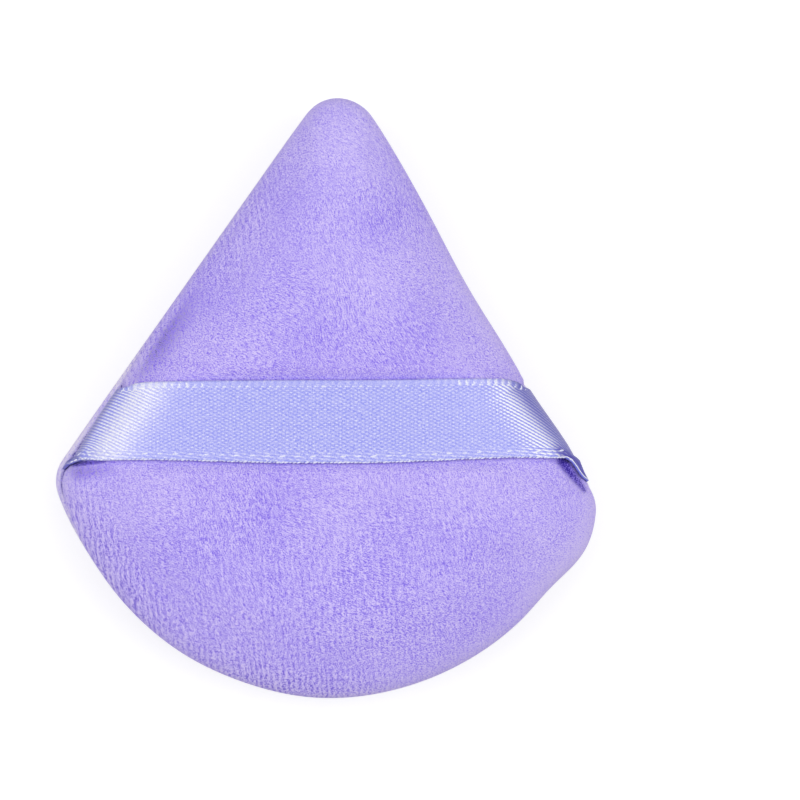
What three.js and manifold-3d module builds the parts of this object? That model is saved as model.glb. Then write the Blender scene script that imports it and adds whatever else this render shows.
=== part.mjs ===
// A fan-shaped velour powder puff with a satin finger ribbon, in millimetres.
//
// It lies on its back cover with the ribbon up: +Z is up, +Y points to the rounded tip, and the
// origin is under the middle of the outline, on the surface that the puff lies on.
//
// Two velour covers are sewn together round the edge with their seam allowances turned inwards.
// The ribbon's ends are caught between the allowances, and a lockstitch of two threads goes through
// all the layers. A die-cut foam core fills the bag, put in through a gap in the seam that a third
// thread closes.

import * as THREE from "three";
import { mergeVertices } from "three/addons/utils/BufferGeometryUtils.js";
import Module from "manifold-3d";

const wasm = await Module();
wasm.setup();

// Outline of the pad, seen from above
const PAD_LENGTH = 74; // tip to bottom edge
const PAD_WIDTH = 66.5; // corner to corner
const TIP_RADIUS = 4.8;
const CORNER_RADIUS = 5;
const CORNER_HEIGHT = 25.4; // of the corners' centres above the bottom edge

// Thickness of the stuffed pad
const FRONT_CROWN = 8.5; // front face above the seam
const BACK_CROWN = 6.5; // back face below the seam
const CROWN_POWER = 4.5; // a higher power gives a flatter face and a rounder edge
const BACK_FLAT = 0.5; // depth of the back's crown that the pad's weight presses flat

// Velour covers
const VELOUR_THICKNESS = 1.2; // knit backing and pile
const SEAM_DEPTH = 1; // how far the seam is drawn in from the outline
const SEAM_ALLOWANCE = 2.2; // turned-in edge, from the stitches to the raw edge

// Finger ribbon
const RIBBON_WIDTH = 10;
const RIBBON_THICKNESS = 0.35;
const RIBBON_MIDDLE_Y = -3; // where its middle crosses the pad's centre line
const RIBBON_TILT = THREE.MathUtils.degToRad(2.2); // it is sewn a little off square
const RIBBON_TAIL = 1.6; // length caught in the seam, past the stitches
const CHANNEL_DEPTH = 0.7; // how deep the ribbon presses into the front face
const CHANNEL_SLOPE = 1.3; // width of each sloping side of that channel

// Sewing threads
const THREAD_DIAMETER = 0.3;
const STITCH_LENGTH = 4.5;
const TURNING_GAP = 24; // left open at the bottom edge to turn the bag and put the foam in

// Clearances
const CLEARANCE = 0.3; // between layers that lie on each other
const THREAD_CLEARANCE = 0.12; // between threads, and from a thread to its hole

// Facets
const ARC_STEP = THREE.MathUtils.degToRad(15);
const EDGE_STEP = 7.5; // longest facet along the outline
const CROWN_LEVELS = 6; // from the rim to the crown
const FOLD_STEPS = 2; // round the fold at the seam
const RIBBON_STEPS = 26; // along the ribbon
const RIBBON_STRIPS = 8; // across the ribbon
const TAIL_STEPS = 4; // round the fold at a ribbon's end
const CHANNEL_REACH = 3; // of the channel's cutter above its floor
const CHANNEL_OVERSHOOT = 1.6; // how far its slopes go on past the face
const CUT_TOLERANCE = 0.005; // how far the edges of a cut may move as its slivers are merged
const THREAD_SIDES = 4;
const LAY_STEP = 0.25; // in laying the ribbon over the face
const OUTLINE_SAMPLES = 480; // fine outline that heights and seam lines are read from
const PROBE = 0.1; // half the step of a measured slope
const SETTLE_PASSES = 3; // of a laid point on to the face
const TINY = 1e-6;

// Heights, counted from the seam's middle plane until the whole group is lifted
const ribbonRoom = RIBBON_THICKNESS + 2 * CLEARANCE;
const crossingRoom = 2 * THREAD_DIAMETER + 3 * THREAD_CLEARANCE; // two threads over each other
const seamGap = Math.max(ribbonRoom, crossingRoom); // between the two allowances
const rimHeight = seamGap / 2 + SEAM_DEPTH; // where a cover is widest
const allowanceTop = seamGap / 2 + VELOUR_THICKNESS;
const pressedCrown = FRONT_CROWN - CHANNEL_DEPTH; // of the front face under the ribbon

// Places counted inwards from the outline
const legs = THREAD_DIAMETER + THREAD_CLEARANCE; // from a stitch's middle to each of its legs
const stitchInset = SEAM_DEPTH + VELOUR_THICKNESS + legs;
const rawEdge = stitchInset + SEAM_ALLOWANCE;

const FRONT = 1;
const BACK = -1;

const VELOUR = { color: 0xb9a8f6, roughness: 0.95 };
const SATIN = { color: 0xb6b9f5, roughness: 0.35 };
const FOAM = { color: 0xf4f1ea, roughness: 0.9 };
const THREAD = { color: 0xa795e6, roughness: 0.6 };

// Outline: the bottom arc, a corner, a straight side, the tip, and the same again on the left

const tipCentreY = PAD_LENGTH / 2 - TIP_RADIUS;
const cornerX = PAD_WIDTH / 2 - CORNER_RADIUS;
const cornerY = CORNER_HEIGHT - PAD_LENGTH / 2;
const bottomRadius =
  (cornerX ** 2 + CORNER_HEIGHT ** 2 - CORNER_RADIUS ** 2) / (2 * (CORNER_HEIGHT - CORNER_RADIUS));
const bottomCentreY = bottomRadius - PAD_LENGTH / 2;
const cornerAngle = Math.atan2(cornerY - bottomCentreY, cornerX); // where the bottom arc ends
const sideRun = Math.hypot(cornerX, cornerY - tipCentreY);
const sideAngle =
  Math.atan2(cornerY - tipCentreY, cornerX) + Math.acos((TIP_RADIUS - CORNER_RADIUS) / sideRun);

const outline = new THREE.Path();
outline.absarc(0, bottomCentreY, bottomRadius, -Math.PI / 2, cornerAngle);
outline.absarc(cornerX, cornerY, CORNER_RADIUS, cornerAngle, sideAngle);
outline.absarc(0, tipCentreY, TIP_RADIUS, sideAngle, Math.PI - sideAngle);
outline.absarc(-cornerX, cornerY, CORNER_RADIUS, Math.PI - sideAngle, Math.PI - cornerAngle);
outline.absarc(0, bottomCentreY, bottomRadius, Math.PI - cornerAngle, 1.5 * Math.PI);

// The crown is highest at the centre of the largest circle that fits in the outline.
const sideReach = tipCentreY * Math.sin(sideAngle) + TIP_RADIUS;
const crownY = (sideReach - PAD_LENGTH / 2) / (1 + Math.sin(sideAngle));
const crownRadius = crownY + PAD_LENGTH / 2;

// Points of the outline with their outward normals, in facets that suit each stretch. Where two
// arcs meet, the path holds a line of no length between them, which is passed over.
function outlineStations() {
  const stations = [];
  const stretches = outline.curves.filter((curve) => curve.getLength() > TINY);
  for (const curve of stretches) {
    const turn = curve.isEllipseCurve ? curve.aEndAngle - curve.aStartAngle : 0;
    const steps = Math.ceil(Math.max(turn / ARC_STEP, curve.getLength() / EDGE_STEP));
    for (let i = 0; i < steps; i++) {
      const tangent = curve.getTangentAt(i / steps);
      stations.push({
        point: curve.getPointAt(i / steps),
        normal: new THREE.Vector2(tangent.y, -tangent.x),
      });
    }
  }
  return stations;
}

const stations = outlineStations();
const fineOutline = outline.getSpacedPoints(OUTLINE_SAMPLES);
const crownCentre = new THREE.Vector2(0, crownY);

const outlineEdges = fineOutline.slice(0, -1).map((from, i) => {
  const along = fineOutline[i + 1].clone().sub(from);
  return { along, reach: from.clone().sub(crownCentre).cross(along) };
});

// How far out a point lies, 0 at the crown's centre and 1 on the outline. The outline is convex, so
// this is the most that the point reaches towards any of its edges.
function outwardShare(x, y) {
  const ray = new THREE.Vector2(x, y).sub(crownCentre);
  return Math.max(...outlineEdges.map(({ along, reach }) => ray.cross(along) / reach));
}

// Stuffed form of a cover: a superellipse from the rim to the crown, pressed flat under the back

const crownTop = { [FRONT]: FRONT_CROWN, [BACK]: BACK_CROWN + BACK_FLAT };
const flatTop = { [FRONT]: FRONT_CROWN, [BACK]: BACK_CROWN };

// A plan position drawn in towards the crown's centre
function drawnIn(plan, share) {
  return plan.clone().sub(crownCentre).multiplyScalar(share).add(crownCentre);
}

// A ring of the form at a level, 0 at the rim and 1 at the crown. Depth 0 is the cover's outer face,
// and forms at other depths start on the allowance. Heights are above the seam for either cover.
function formRing(level, side, depth) {
  const angle = (level * Math.PI) / 2;
  const share = Math.cos(angle) ** (2 / CROWN_POWER);
  const low = depth > 0 ? allowanceTop : rimHeight;
  const rise = (crownTop[side] - depth - low) * Math.sin(angle);
  const height = Math.min(low + rise, flatTop[side] - depth);
  return stations.map(({ point, normal }) => {
    const plan = drawnIn(point.clone().addScaledVector(normal, -depth), share);
    return new THREE.Vector3(plan.x, plan.y, height);
  });
}

function crownPole(side, depth) {
  return new THREE.Vector3(0, crownY, flatTop[side] - depth);
}

// A ring at one height, set in from the outline by a distance
function insetRing(inset, height) {
  return stations.map(({ point, normal }) => {
    const plan = point.clone().addScaledVector(normal, -inset);
    return new THREE.Vector3(plan.x, plan.y, height);
  });
}

// A ring at one height, drawn in towards the crown so that its straight sides move in by inset
function drawnInRing(inset, height) {
  return stations.map(({ point }) => {
    const plan = drawnIn(point, 1 - inset / crownRadius);
    return new THREE.Vector3(plan.x, plan.y, height);
  });
}

// Zero on the pressed face that the ribbon lies on, for a point at a height above the seam
function pressedField(x, y, height) {
  const rise = (height - rimHeight) / (pressedCrown - rimHeight);
  return outwardShare(x, y) ** CROWN_POWER + rise * rise - 1;
}

// Slope of the field, which points out of the front cover
function pressedSlope(p) {
  const slope = new THREE.Vector3();
  for (const axis of ["x", "y", "z"]) {
    const ahead = p.clone();
    const behind = p.clone();
    ahead[axis] += PROBE;
    behind[axis] -= PROBE;
    slope[axis] = pressedField(...ahead) - pressedField(...behind);
  }
  return slope.divideScalar(2 * PROBE);
}

// Mesh helpers

function bufferGeometry(points, triangles) {
  const geometry = new THREE.BufferGeometry().setFromPoints(points);
  return geometry.setIndex(triangles);
}

// A closed skin through rings that run from a first pole to a last one
function loft(firstPole, rings, lastPole, side) {
  const count = rings[0].length;
  const points = [firstPole, ...rings.flat(), lastPole];
  const last = points.length - 1;
  const triangles = [];
  const face = (a, b, c) => triangles.push(...(side === FRONT ? [a, b, c] : [a, c, b]));
  const at = (ring, i) => 1 + ring * count + (i % count);
  for (let i = 0; i < count; i++) {
    face(0, at(0, i), at(0, i + 1));
    for (let r = 0; r + 1 < rings.length; r++) {
      face(at(r, i), at(r + 1, i), at(r + 1, i + 1));
      face(at(r, i), at(r + 1, i + 1), at(r, i + 1));
    }
    face(last, at(rings.length - 1, i + 1), at(rings.length - 1, i));
  }
  for (const p of points) p.z *= side;
  return bufferGeometry(points, triangles);
}

// A closed strip of cloth through a grid of points on its middle, with a normal at each
function strip(middle, normals, thickness) {
  const rows = middle.length;
  const columns = middle[0].length;
  const skin = (share) =>
    middle.flatMap((row, r) =>
      row.map((p, c) => p.clone().addScaledVector(normals[r][c], share * thickness)),
    );
  const points = [...skin(0.5), ...skin(-0.5)];
  const under = rows * columns;
  const triangles = [];
  const quad = (a, b, c, d) => triangles.push(a, b, c, a, c, d);
  for (let r = 0; r + 1 < rows; r++) {
    for (let c = 0; c + 1 < columns; c++) {
      const [a, b] = [r * columns + c, r * columns + c + 1];
      const [d, e] = [a + columns, b + columns];
      quad(a, b, e, d);
      quad(under + a, under + d, under + e, under + b);
    }
  }
  for (let c = 0; c + 1 < columns; c++) {
    const far = (rows - 1) * columns + c;
    quad(c, under + c, under + c + 1, c + 1);
    quad(far, far + 1, under + far + 1, under + far);
  }
  for (let r = 0; r + 1 < rows; r++) {
    const [left, right] = [r * columns, r * columns + columns - 1];
    quad(left, left + columns, under + left + columns, under + left);
    quad(right, under + right, under + right + columns, right + columns);
  }
  return bufferGeometry(points, triangles);
}

// A thread through the corners of its route, mitred at each corner
function threadTube(route) {
  const sides = THREAD_SIDES;
  const headings = route.slice(1).map((p, i) => p.clone().sub(route[i]).normalize());
  const across = new THREE.Vector3(0, 0, 1).cross(headings[0]);
  if (across.lengthSq() < TINY) across.set(1, 0, 0);
  across.normalize();
  const points = [];
  const triangles = [];
  route.forEach((p, i) => {
    const before = headings[Math.max(i - 1, 0)];
    const after = headings[Math.min(i, headings.length - 1)];
    const mitre = before.clone().add(after).normalize();
    for (let k = 0; k < sides; k++) {
      const spoke = across.clone().applyAxisAngle(before, (k / sides) * 2 * Math.PI);
      spoke.multiplyScalar(THREAD_DIAMETER / 2);
      spoke.addScaledVector(before, -spoke.dot(mitre) / before.dot(mitre));
      points.push(spoke.add(p));
    }
    across.applyQuaternion(new THREE.Quaternion().setFromUnitVectors(before, after));
    if (i === 0) return;
    for (let k = 0; k < sides; k++) {
      const [a, b] = [(i - 1) * sides + k, (i - 1) * sides + ((k + 1) % sides)];
      triangles.push(a, b, b + sides, a, b + sides, a + sides);
    }
  });
  const end = (route.length - 1) * sides;
  for (let k = 1; k + 1 < sides; k++) {
    triangles.push(0, k + 1, k, end, end + k, end + k + 1);
  }
  return bufferGeometry(points, triangles);
}

function solidOf(geometry) {
  const bare = geometry.clone();
  bare.deleteAttribute("normal");
  bare.deleteAttribute("uv");
  const merged = mergeVertices(bare);
  const mesh = new wasm.Mesh({
    numProp: 3,
    vertProperties: new Float32Array(merged.attributes.position.array),
    triVerts: new Uint32Array(merged.index.array),
  });
  return new wasm.Manifold(mesh);
}

// A geometry with cutters taken out of it
function cut(geometry, cutters) {
  const made = cutters.reduce((rest, cutter) => rest.subtract(solidOf(cutter)), solidOf(geometry));
  const { vertProperties, triVerts } = made.simplify(CUT_TOLERANCE).getMesh();
  const result = new THREE.BufferGeometry();
  result.setAttribute("position", new THREE.BufferAttribute(vertProperties, 3));
  return result.setIndex(new THREE.BufferAttribute(triVerts, 1));
}

// Seam: stitch sites by length along a line set in from the outline

const seamLine = new THREE.CatmullRomCurve3(
  fineOutline.slice(0, -1).map((p, i) => {
    const [before, after] = [fineOutline.at(i - 1 < 0 ? -2 : i - 1), fineOutline[i + 1]];
    const along = after.clone().sub(before).normalize();
    return new THREE.Vector3(p.x - stitchInset * along.y, p.y + stitchInset * along.x, 0);
  }),
  true,
);
seamLine.arcLengthDivisions = 4 * OUTLINE_SAMPLES;
const seamLength = seamLine.getLength();

// Evenly spaced sites over a stretch of the seam, which starts at the middle of the bottom edge
function stitchSites(from, to) {
  const count = Math.round((to - from) / STITCH_LENGTH);
  const sites = [];
  for (let i = 0; i <= count; i++) {
    const share = THREE.MathUtils.euclideanModulo(from + ((to - from) * i) / count, seamLength);
    const along = seamLine.getTangentAt(share / seamLength);
    sites.push({
      point: seamLine.getPointAt(share / seamLength),
      along,
      inwards: new THREE.Vector3(-along.y, along.x, 0),
    });
  }
  return sites;
}

const sewnSites = stitchSites(TURNING_GAP / 2, seamLength - TURNING_GAP / 2);
const closingReach = TURNING_GAP / 2 - STITCH_LENGTH;
const closingSites = stitchSites(-closingReach, closingReach);

const threadRun = allowanceTop + THREAD_CLEARANCE + THREAD_DIAMETER / 2;
const hook = (THREAD_DIAMETER + THREAD_CLEARANCE) / 2; // from the seam's plane to a crossing strand
const holeReach = legs + THREAD_DIAMETER / 2 + THREAD_CLEARANCE;
const holeNarrow = THREAD_DIAMETER / 2 + THREAD_CLEARANCE;

// A rectangular needle hole at a site, through a layer between two heights
function needleHole({ point, along }, reachAlong, reachAcross, low, high) {
  const geometry = new THREE.BoxGeometry(2 * reachAlong, 2 * reachAcross, high - low);
  geometry.rotateZ(Math.atan2(along.y, along.x));
  return geometry.translate(point.x, point.y, (low + high) / 2);
}

const throughCover = [seamGap / 2 - CLEARANCE, allowanceTop + CLEARANCE];

// Velour covers: face, fold at the seam, allowance and raw edge, then the inner side of the face
function velourCover(side) {
  const levels = Array.from({ length: CROWN_LEVELS }, (_, i) => i / CROWN_LEVELS);
  const outer = levels.toReversed().map((level) => formRing(level, side, 0));
  const inner = levels.map((level) => formRing(level, side, VELOUR_THICKNESS));
  const fold = Array.from({ length: FOLD_STEPS }, (_, i) => {
    const angle = ((i + 1) / FOLD_STEPS) * (Math.PI / 2);
    return insetRing(
      SEAM_DEPTH * (1 - Math.cos(angle)),
      rimHeight - SEAM_DEPTH * Math.sin(angle),
    );
  });
  const edge = [drawnInRing(rawEdge, seamGap / 2), drawnInRing(rawEdge, allowanceTop)];
  const rings = [...outer, ...fold, ...edge, ...inner];
  const cover = loft(crownPole(side, 0), rings, crownPole(side, VELOUR_THICKNESS), side);
  const [low, high] = side === FRONT ? throughCover : throughCover.map((z) => -z).reverse();
  const reach = side === FRONT ? [holeReach, holeNarrow] : [holeNarrow, holeReach];
  return cut(cover, [
    ...(side === FRONT ? [ribbonChannel()] : []),
    ...sewnSites.map((site) => needleHole(site, ...reach, low, high)),
    ...closingSites.map((site) => needleHole(site, holeNarrow, holeNarrow, low, high)),
  ]);
}

// Foam core: die-cut to the space inside the allowances, and filling both covers
function foamCore() {
  const depth = VELOUR_THICKNESS + CLEARANCE;
  const edgeInset = rawEdge + CLEARANCE;
  const edgeShare = 1 - edgeInset / crownRadius;
  const edgeLevel = Math.acos(edgeShare ** (CROWN_POWER / 2)) / (Math.PI / 2);
  const steps = CROWN_LEVELS - 1;
  const levels = Array.from(
    { length: steps },
    (_, i) => edgeLevel + ((1 - edgeLevel) * i) / steps,
  );
  const front = levels.toReversed().map((level) => formRing(level, FRONT, depth));
  const back = levels.map((level) => formRing(level, BACK, depth));
  const backPole = crownPole(BACK, depth);
  for (const p of [...back.flat(), backPole]) p.z *= BACK;
  const rings = [...front, drawnInRing(edgeInset, 0), ...back];
  return loft(crownPole(FRONT, depth), rings, backPole, FRONT);
}

// Ribbon: parallel lines laid straight over the front face, from its middle to the rim on each side

function settleOnFace(p) {
  for (let pass = 0; pass < SETTLE_PASSES; pass++) {
    const slope = pressedSlope(p);
    p.addScaledVector(slope, -pressedField(...p) / slope.lengthSq());
  }
}

function layToRim(start, heading) {
  const p = start.clone();
  const ahead = heading.clone();
  const line = [p.clone()];
  while (p.z > ribbonJoin) {
    const normal = pressedSlope(p).normalize();
    ahead.addScaledVector(normal, -ahead.dot(normal)).normalize();
    p.addScaledVector(ahead, LAY_STEP);
    settleOnFace(p);
    line.push(p.clone());
  }
  return line;
}

const ribbonAlong = new THREE.Vector3(Math.cos(RIBBON_TILT), Math.sin(RIBBON_TILT), 0);
const ribbonAcross = new THREE.Vector3(-Math.sin(RIBBON_TILT), Math.cos(RIBBON_TILT), 0);
const ribbonLift = CLEARANCE + RIBBON_THICKNESS / 2; // of its middle above the velour
const ribbonJoin = rimHeight + CLEARANCE / 2; // where the strap ends, above the rim

// The strap's laid lines on the velour, each from the left rim to the right
function ribbonLines() {
  return Array.from({ length: RIBBON_STRIPS + 1 }, (_, i) => {
    const offset = (0.5 - i / RIBBON_STRIPS) * RIBBON_WIDTH;
    const start = new THREE.Vector3(0, RIBBON_MIDDLE_Y, pressedCrown);
    start.addScaledVector(ribbonAcross, offset);
    settleOnFace(start);
    const left = layToRim(start, ribbonAlong.clone().negate());
    const right = layToRim(start, ribbonAlong);
    return [...left.reverse(), ...right.slice(1)];
  });
}

const laidLines = ribbonLines();

const velourLine = (line) => new THREE.CatmullRomCurve3(line).getSpacedPoints(RIBBON_STEPS);
const facing = (row) => row.map((p) => pressedSlope(p).normalize());

// What the ribbon presses out of the front face: a floor under it and a sloping side along each edge
function ribbonChannel() {
  const top = velourLine(laidLines[0]);
  const middle = velourLine(laidLines[RIBBON_STRIPS / 2]);
  const bottom = velourLine(laidLines.at(-1));
  const bank = CLEARANCE + CHANNEL_OVERSHOOT * CHANNEL_SLOPE;
  const rise = CHANNEL_OVERSHOOT * CHANNEL_DEPTH;
  const rows = [
    [bottom, -bank, rise],
    [bottom, -CLEARANCE, 0],
    [middle, 0, 0],
    [top, CLEARANCE, 0],
    [top, bank, rise],
  ];
  const floor = rows.map(([line, aside, up]) => {
    const normals = facing(line);
    return line.map((p, c) => {
      const along = line[Math.min(c + 1, RIBBON_STEPS)].clone().sub(line[Math.max(c - 1, 0)]);
      const across = normals[c].clone().cross(along).setLength(aside);
      return p.clone().add(across).addScaledVector(normals[c], up + CHANNEL_REACH / 2);
    });
  });
  return strip(floor, rows.map(([line]) => facing(line)), CHANNEL_REACH);
}

function ribbonStrap() {
  const onVelour = laidLines.map(velourLine);
  const normals = onVelour.map(facing);
  const middle = onVelour.map((row, r) =>
    row.map((p, c) => p.clone().addScaledVector(normals[r][c], ribbonLift)),
  );
  return strip(middle.toReversed(), normals.toReversed(), RIBBON_THICKNESS);
}

// A caught end: it follows the front cover's fold into the seam and lies between the allowances
function ribbonEnd(sideX) {
  const bend = SEAM_DEPTH + ribbonLift;
  const profile = [];
  for (let i = 0; i <= TAIL_STEPS; i++) {
    const angle = (i / TAIL_STEPS) * (Math.PI / 2);
    profile.push({
      inset: SEAM_DEPTH - bend * Math.cos(angle),
      height: rimHeight - bend * Math.sin(angle),
      angle,
    });
  }
  profile.push({ ...profile.at(-1), inset: stitchInset + RIBBON_TAIL });
  profile[0].height -= CLEARANCE / 2;
  const rows = laidLines.map((line) => (sideX < 0 ? line[0] : line.at(-1)));
  const outwards = rows.map((end) => pressedSlope(end).setZ(0).normalize());
  const middle = rows.map((end, r) =>
    profile.map(({ inset, height }) =>
      end.clone().addScaledVector(outwards[r], -inset).setZ(height),
    ),
  );
  const normals = outwards.map((out) =>
    profile.map(({ angle }) =>
      out.clone().multiplyScalar(Math.cos(angle)).setZ(-Math.sin(angle)),
    ),
  );
  const ordered = sideX < 0 ? [middle, normals] : [middle.toReversed(), normals.toReversed()];
  const tail = strip(...ordered, RIBBON_THICKNESS);
  const reach = Math.hypot(RIBBON_WIDTH, RIBBON_TAIL);
  const nearest = middle[RIBBON_STRIPS / 2].at(-1);
  const pierced = sewnSites.filter(({ point }) => point.distanceTo(nearest) < reach);
  return cut(
    tail,
    pierced.map((site) => needleHole(site, holeReach, holeReach, -seamGap, seamGap)),
  );
}

// Threads

const lifted = ({ point }, along, across, height) =>
  point.clone().add(along).add(across).setZ(height);

// It runs above the front allowance and dips into each hole, under the bobbin thread.
function needleThread() {
  const none = new THREE.Vector3();
  const route = sewnSites.flatMap((site) => {
    const leg = site.along.clone().multiplyScalar(legs);
    const back = leg.clone().negate();
    return [
      lifted(site, back, none, threadRun),
      lifted(site, back, none, -hook),
      lifted(site, leg, none, -hook),
      lifted(site, leg, none, threadRun),
    ];
  });
  return threadTube(route);
}

// It runs below the back allowance and rises into each hole, over the needle thread.
function bobbinThread() {
  const none = new THREE.Vector3();
  const route = sewnSites.flatMap((site) => {
    const leg = site.inwards.clone().multiplyScalar(legs);
    const out = leg.clone().negate();
    return [
      lifted(site, none, out, -threadRun),
      lifted(site, none, out, hook),
      lifted(site, none, leg, hook),
      lifted(site, none, leg, -threadRun),
    ];
  });
  return threadTube(route);
}

// It goes in and out through both allowances across the turning gap.
function closingThread() {
  const none = new THREE.Vector3();
  const route = closingSites.flatMap((site, i) => {
    const down = i % 2 ? [-threadRun, threadRun] : [threadRun, -threadRun];
    return down.map((height) => lifted(site, none, none, height));
  });
  return threadTube(route);
}

// Assembly

const puff = new THREE.Group();
puff.position.z = BACK_CROWN;

function addPiece(name, geometry, finish) {
  const mesh = new THREE.Mesh(geometry, new THREE.MeshStandardMaterial(finish));
  mesh.name = name;
  puff.add(mesh);
}

addPiece("front_velour", velourCover(FRONT), VELOUR);
addPiece("back_velour", velourCover(BACK), VELOUR);
addPiece("foam_core", foamCore(), FOAM);
addPiece("ribbon_strap", ribbonStrap(), SATIN);
addPiece("ribbon_end_left", ribbonEnd(-1), SATIN);
addPiece("ribbon_end_right", ribbonEnd(1), SATIN);
addPiece("seam_needle_thread", needleThread(), THREAD);
addPiece("seam_bobbin_thread", bobbinThread(), THREAD);
addPiece("closing_thread", closingThread(), THREAD);

const assembly = new THREE.Group();
assembly.add(puff);

export default assembly;
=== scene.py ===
# %% [markdown]
# A velour powder puff with a satin finger ribbon
#
# The puff is a fan-shaped bag of two velour covers, sewn together round the edge and stuffed with
# a die-cut foam pad. A satin ribbon crosses the front, and its ends are caught in the seam. The
# solids that the packed model holds give the sizes and places. This script dresses them: each step
# below says what a piece is on the real puff, and makes it in the same frame, in metres.

# %% Load the packed model
import math

import bpy
import numpy as np
from mathutils import Matrix, Vector, noise


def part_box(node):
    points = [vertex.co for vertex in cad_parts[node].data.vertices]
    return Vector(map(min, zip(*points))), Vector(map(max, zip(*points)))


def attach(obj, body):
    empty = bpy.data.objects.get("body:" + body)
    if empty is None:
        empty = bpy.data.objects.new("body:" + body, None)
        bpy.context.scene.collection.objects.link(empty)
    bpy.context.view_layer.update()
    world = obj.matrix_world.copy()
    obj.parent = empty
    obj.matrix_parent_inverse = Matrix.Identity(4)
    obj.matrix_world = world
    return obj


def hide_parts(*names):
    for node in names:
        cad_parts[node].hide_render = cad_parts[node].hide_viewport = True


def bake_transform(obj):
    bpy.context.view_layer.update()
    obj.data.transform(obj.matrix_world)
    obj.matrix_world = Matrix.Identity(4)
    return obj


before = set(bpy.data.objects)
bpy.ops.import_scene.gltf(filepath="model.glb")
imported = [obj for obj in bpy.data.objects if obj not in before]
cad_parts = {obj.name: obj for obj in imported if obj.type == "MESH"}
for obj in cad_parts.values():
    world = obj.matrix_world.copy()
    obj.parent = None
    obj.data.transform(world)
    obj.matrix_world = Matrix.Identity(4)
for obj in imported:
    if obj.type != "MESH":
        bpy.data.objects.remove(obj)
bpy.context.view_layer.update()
MM = 0.001
scene = bpy.context.scene
print("solids:", sorted(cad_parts))

# %% [markdown]
# Sizes that are read from the solids
#
# Sizes could be typed in again, but then they would drift from the solids. The boxes of the two
# covers give the length, the width, the height of the seam and both crowns. Only what a box can't
# tell, such as the radius of the tip, is written here. Everything is worked out in millimetres,
# because a puff has no size that is handy in metres.

# %% Sizes of the pad


def node_box(name):
    """Lowest and highest corner of a solid, in millimetres."""
    return [np.array(corner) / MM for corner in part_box(name)]


front_low, front_high = node_box("front_velour")
back_low, back_high = node_box("back_velour")
pad_width, pad_length = (front_high - front_low)[:2]
seam_z = (front_low[2] + back_high[2]) / 2
seam_gap = front_low[2] - back_high[2]
full_crown = front_high[2] - seam_z
back_crown = seam_z - back_low[2]

TIP_RADIUS = 4.8
CORNER_RADIUS = 5.0
CORNER_HEIGHT = 25.4  # of the corners' centres above the bottom edge
CROWN_POWER = 4.5  # a higher power gives a flatter face and a rounder edge
BACK_FLAT = 0.5  # depth of the back's crown that the pad's weight presses flat
VELOUR_THICKNESS = 1.2
SEAM_DEPTH = 1.0  # how far the seam is drawn in from the outline
RAW_EDGE = 4.82  # from the outline in to the cut edge of the turned-in velour
CHANNEL_DEPTH = 0.7  # how deep the ribbon presses into the front face

pressed_crown = full_crown - CHANNEL_DEPTH
rim_height = seam_gap / 2 + SEAM_DEPTH  # where a cover is widest, above the seam
allowance_top = seam_gap / 2 + VELOUR_THICKNESS
print(f"pad {pad_width:.1f} x {pad_length:.1f} mm, seam {seam_z:.2f} mm up")

# %% [markdown]
# Camera
#
# The picture was taken from almost straight above, with a long lens, because the sides of the puff
# hardly show. On the left a strip of the back cover shows past the seam and on the right none does,
# so the camera stands a few degrees to the left. The ribbon sets the scale: it is 10 mm wide and
# covers 81 pixels. The puff is turned a little clockwise in the picture, so the camera is rolled.

# %% Camera
PICTURE_PIXELS = 800
PIXELS_PER_MM = 8.1
PICTURE_MIDDLE = (8.82, -0.08)  # point of the puff, in mm, at the middle of the picture
PICTURE_TURN = math.radians(2.1)
CAMERA_LEAN = math.radians(5)
LENS_MM = 200
SENSOR_MM = 36

picture_right = Vector((math.cos(PICTURE_TURN), math.sin(PICTURE_TURN), 0))
picture_up = Vector((-math.sin(PICTURE_TURN), math.cos(PICTURE_TURN), 0))
upright = Vector((0, 0, 1))
to_camera = upright * math.cos(CAMERA_LEAN) - picture_right * math.sin(CAMERA_LEAN)
camera_right = picture_right * math.cos(CAMERA_LEAN) + upright * math.sin(CAMERA_LEAN)
camera_distance = PICTURE_PIXELS / PIXELS_PER_MM * MM * LENS_MM / SENSOR_MM
camera_target = Vector((*PICTURE_MIDDLE, seam_z)) * MM

camera_data = bpy.data.cameras.new("camera")
camera_data.lens = LENS_MM
camera_data.sensor_width = SENSOR_MM
camera = bpy.data.objects.new("camera", camera_data)
turn = Matrix((camera_right, picture_up, to_camera)).transposed().to_4x4()
camera.matrix_world = Matrix.Translation(camera_target + to_camera * camera_distance) @ turn
scene.collection.objects.link(camera)
scene.camera = camera
print(f"camera {camera_distance:.3f} m from the puff")

# %% [markdown]
# Node trees as sums
#
# A finish is a node tree, and a tree written link by link is hard to read. Here a socket is wrapped
# in a small class, so that a sum of sockets in Python adds the Math nodes for it. One method adds
# every other kind of node: its settings come first, because some settings change which sockets the
# node has, and then the values or links of its sockets. The trees that make geometry, further on,
# are written the same way.

# %% Sockets that can be added and multiplied


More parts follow.
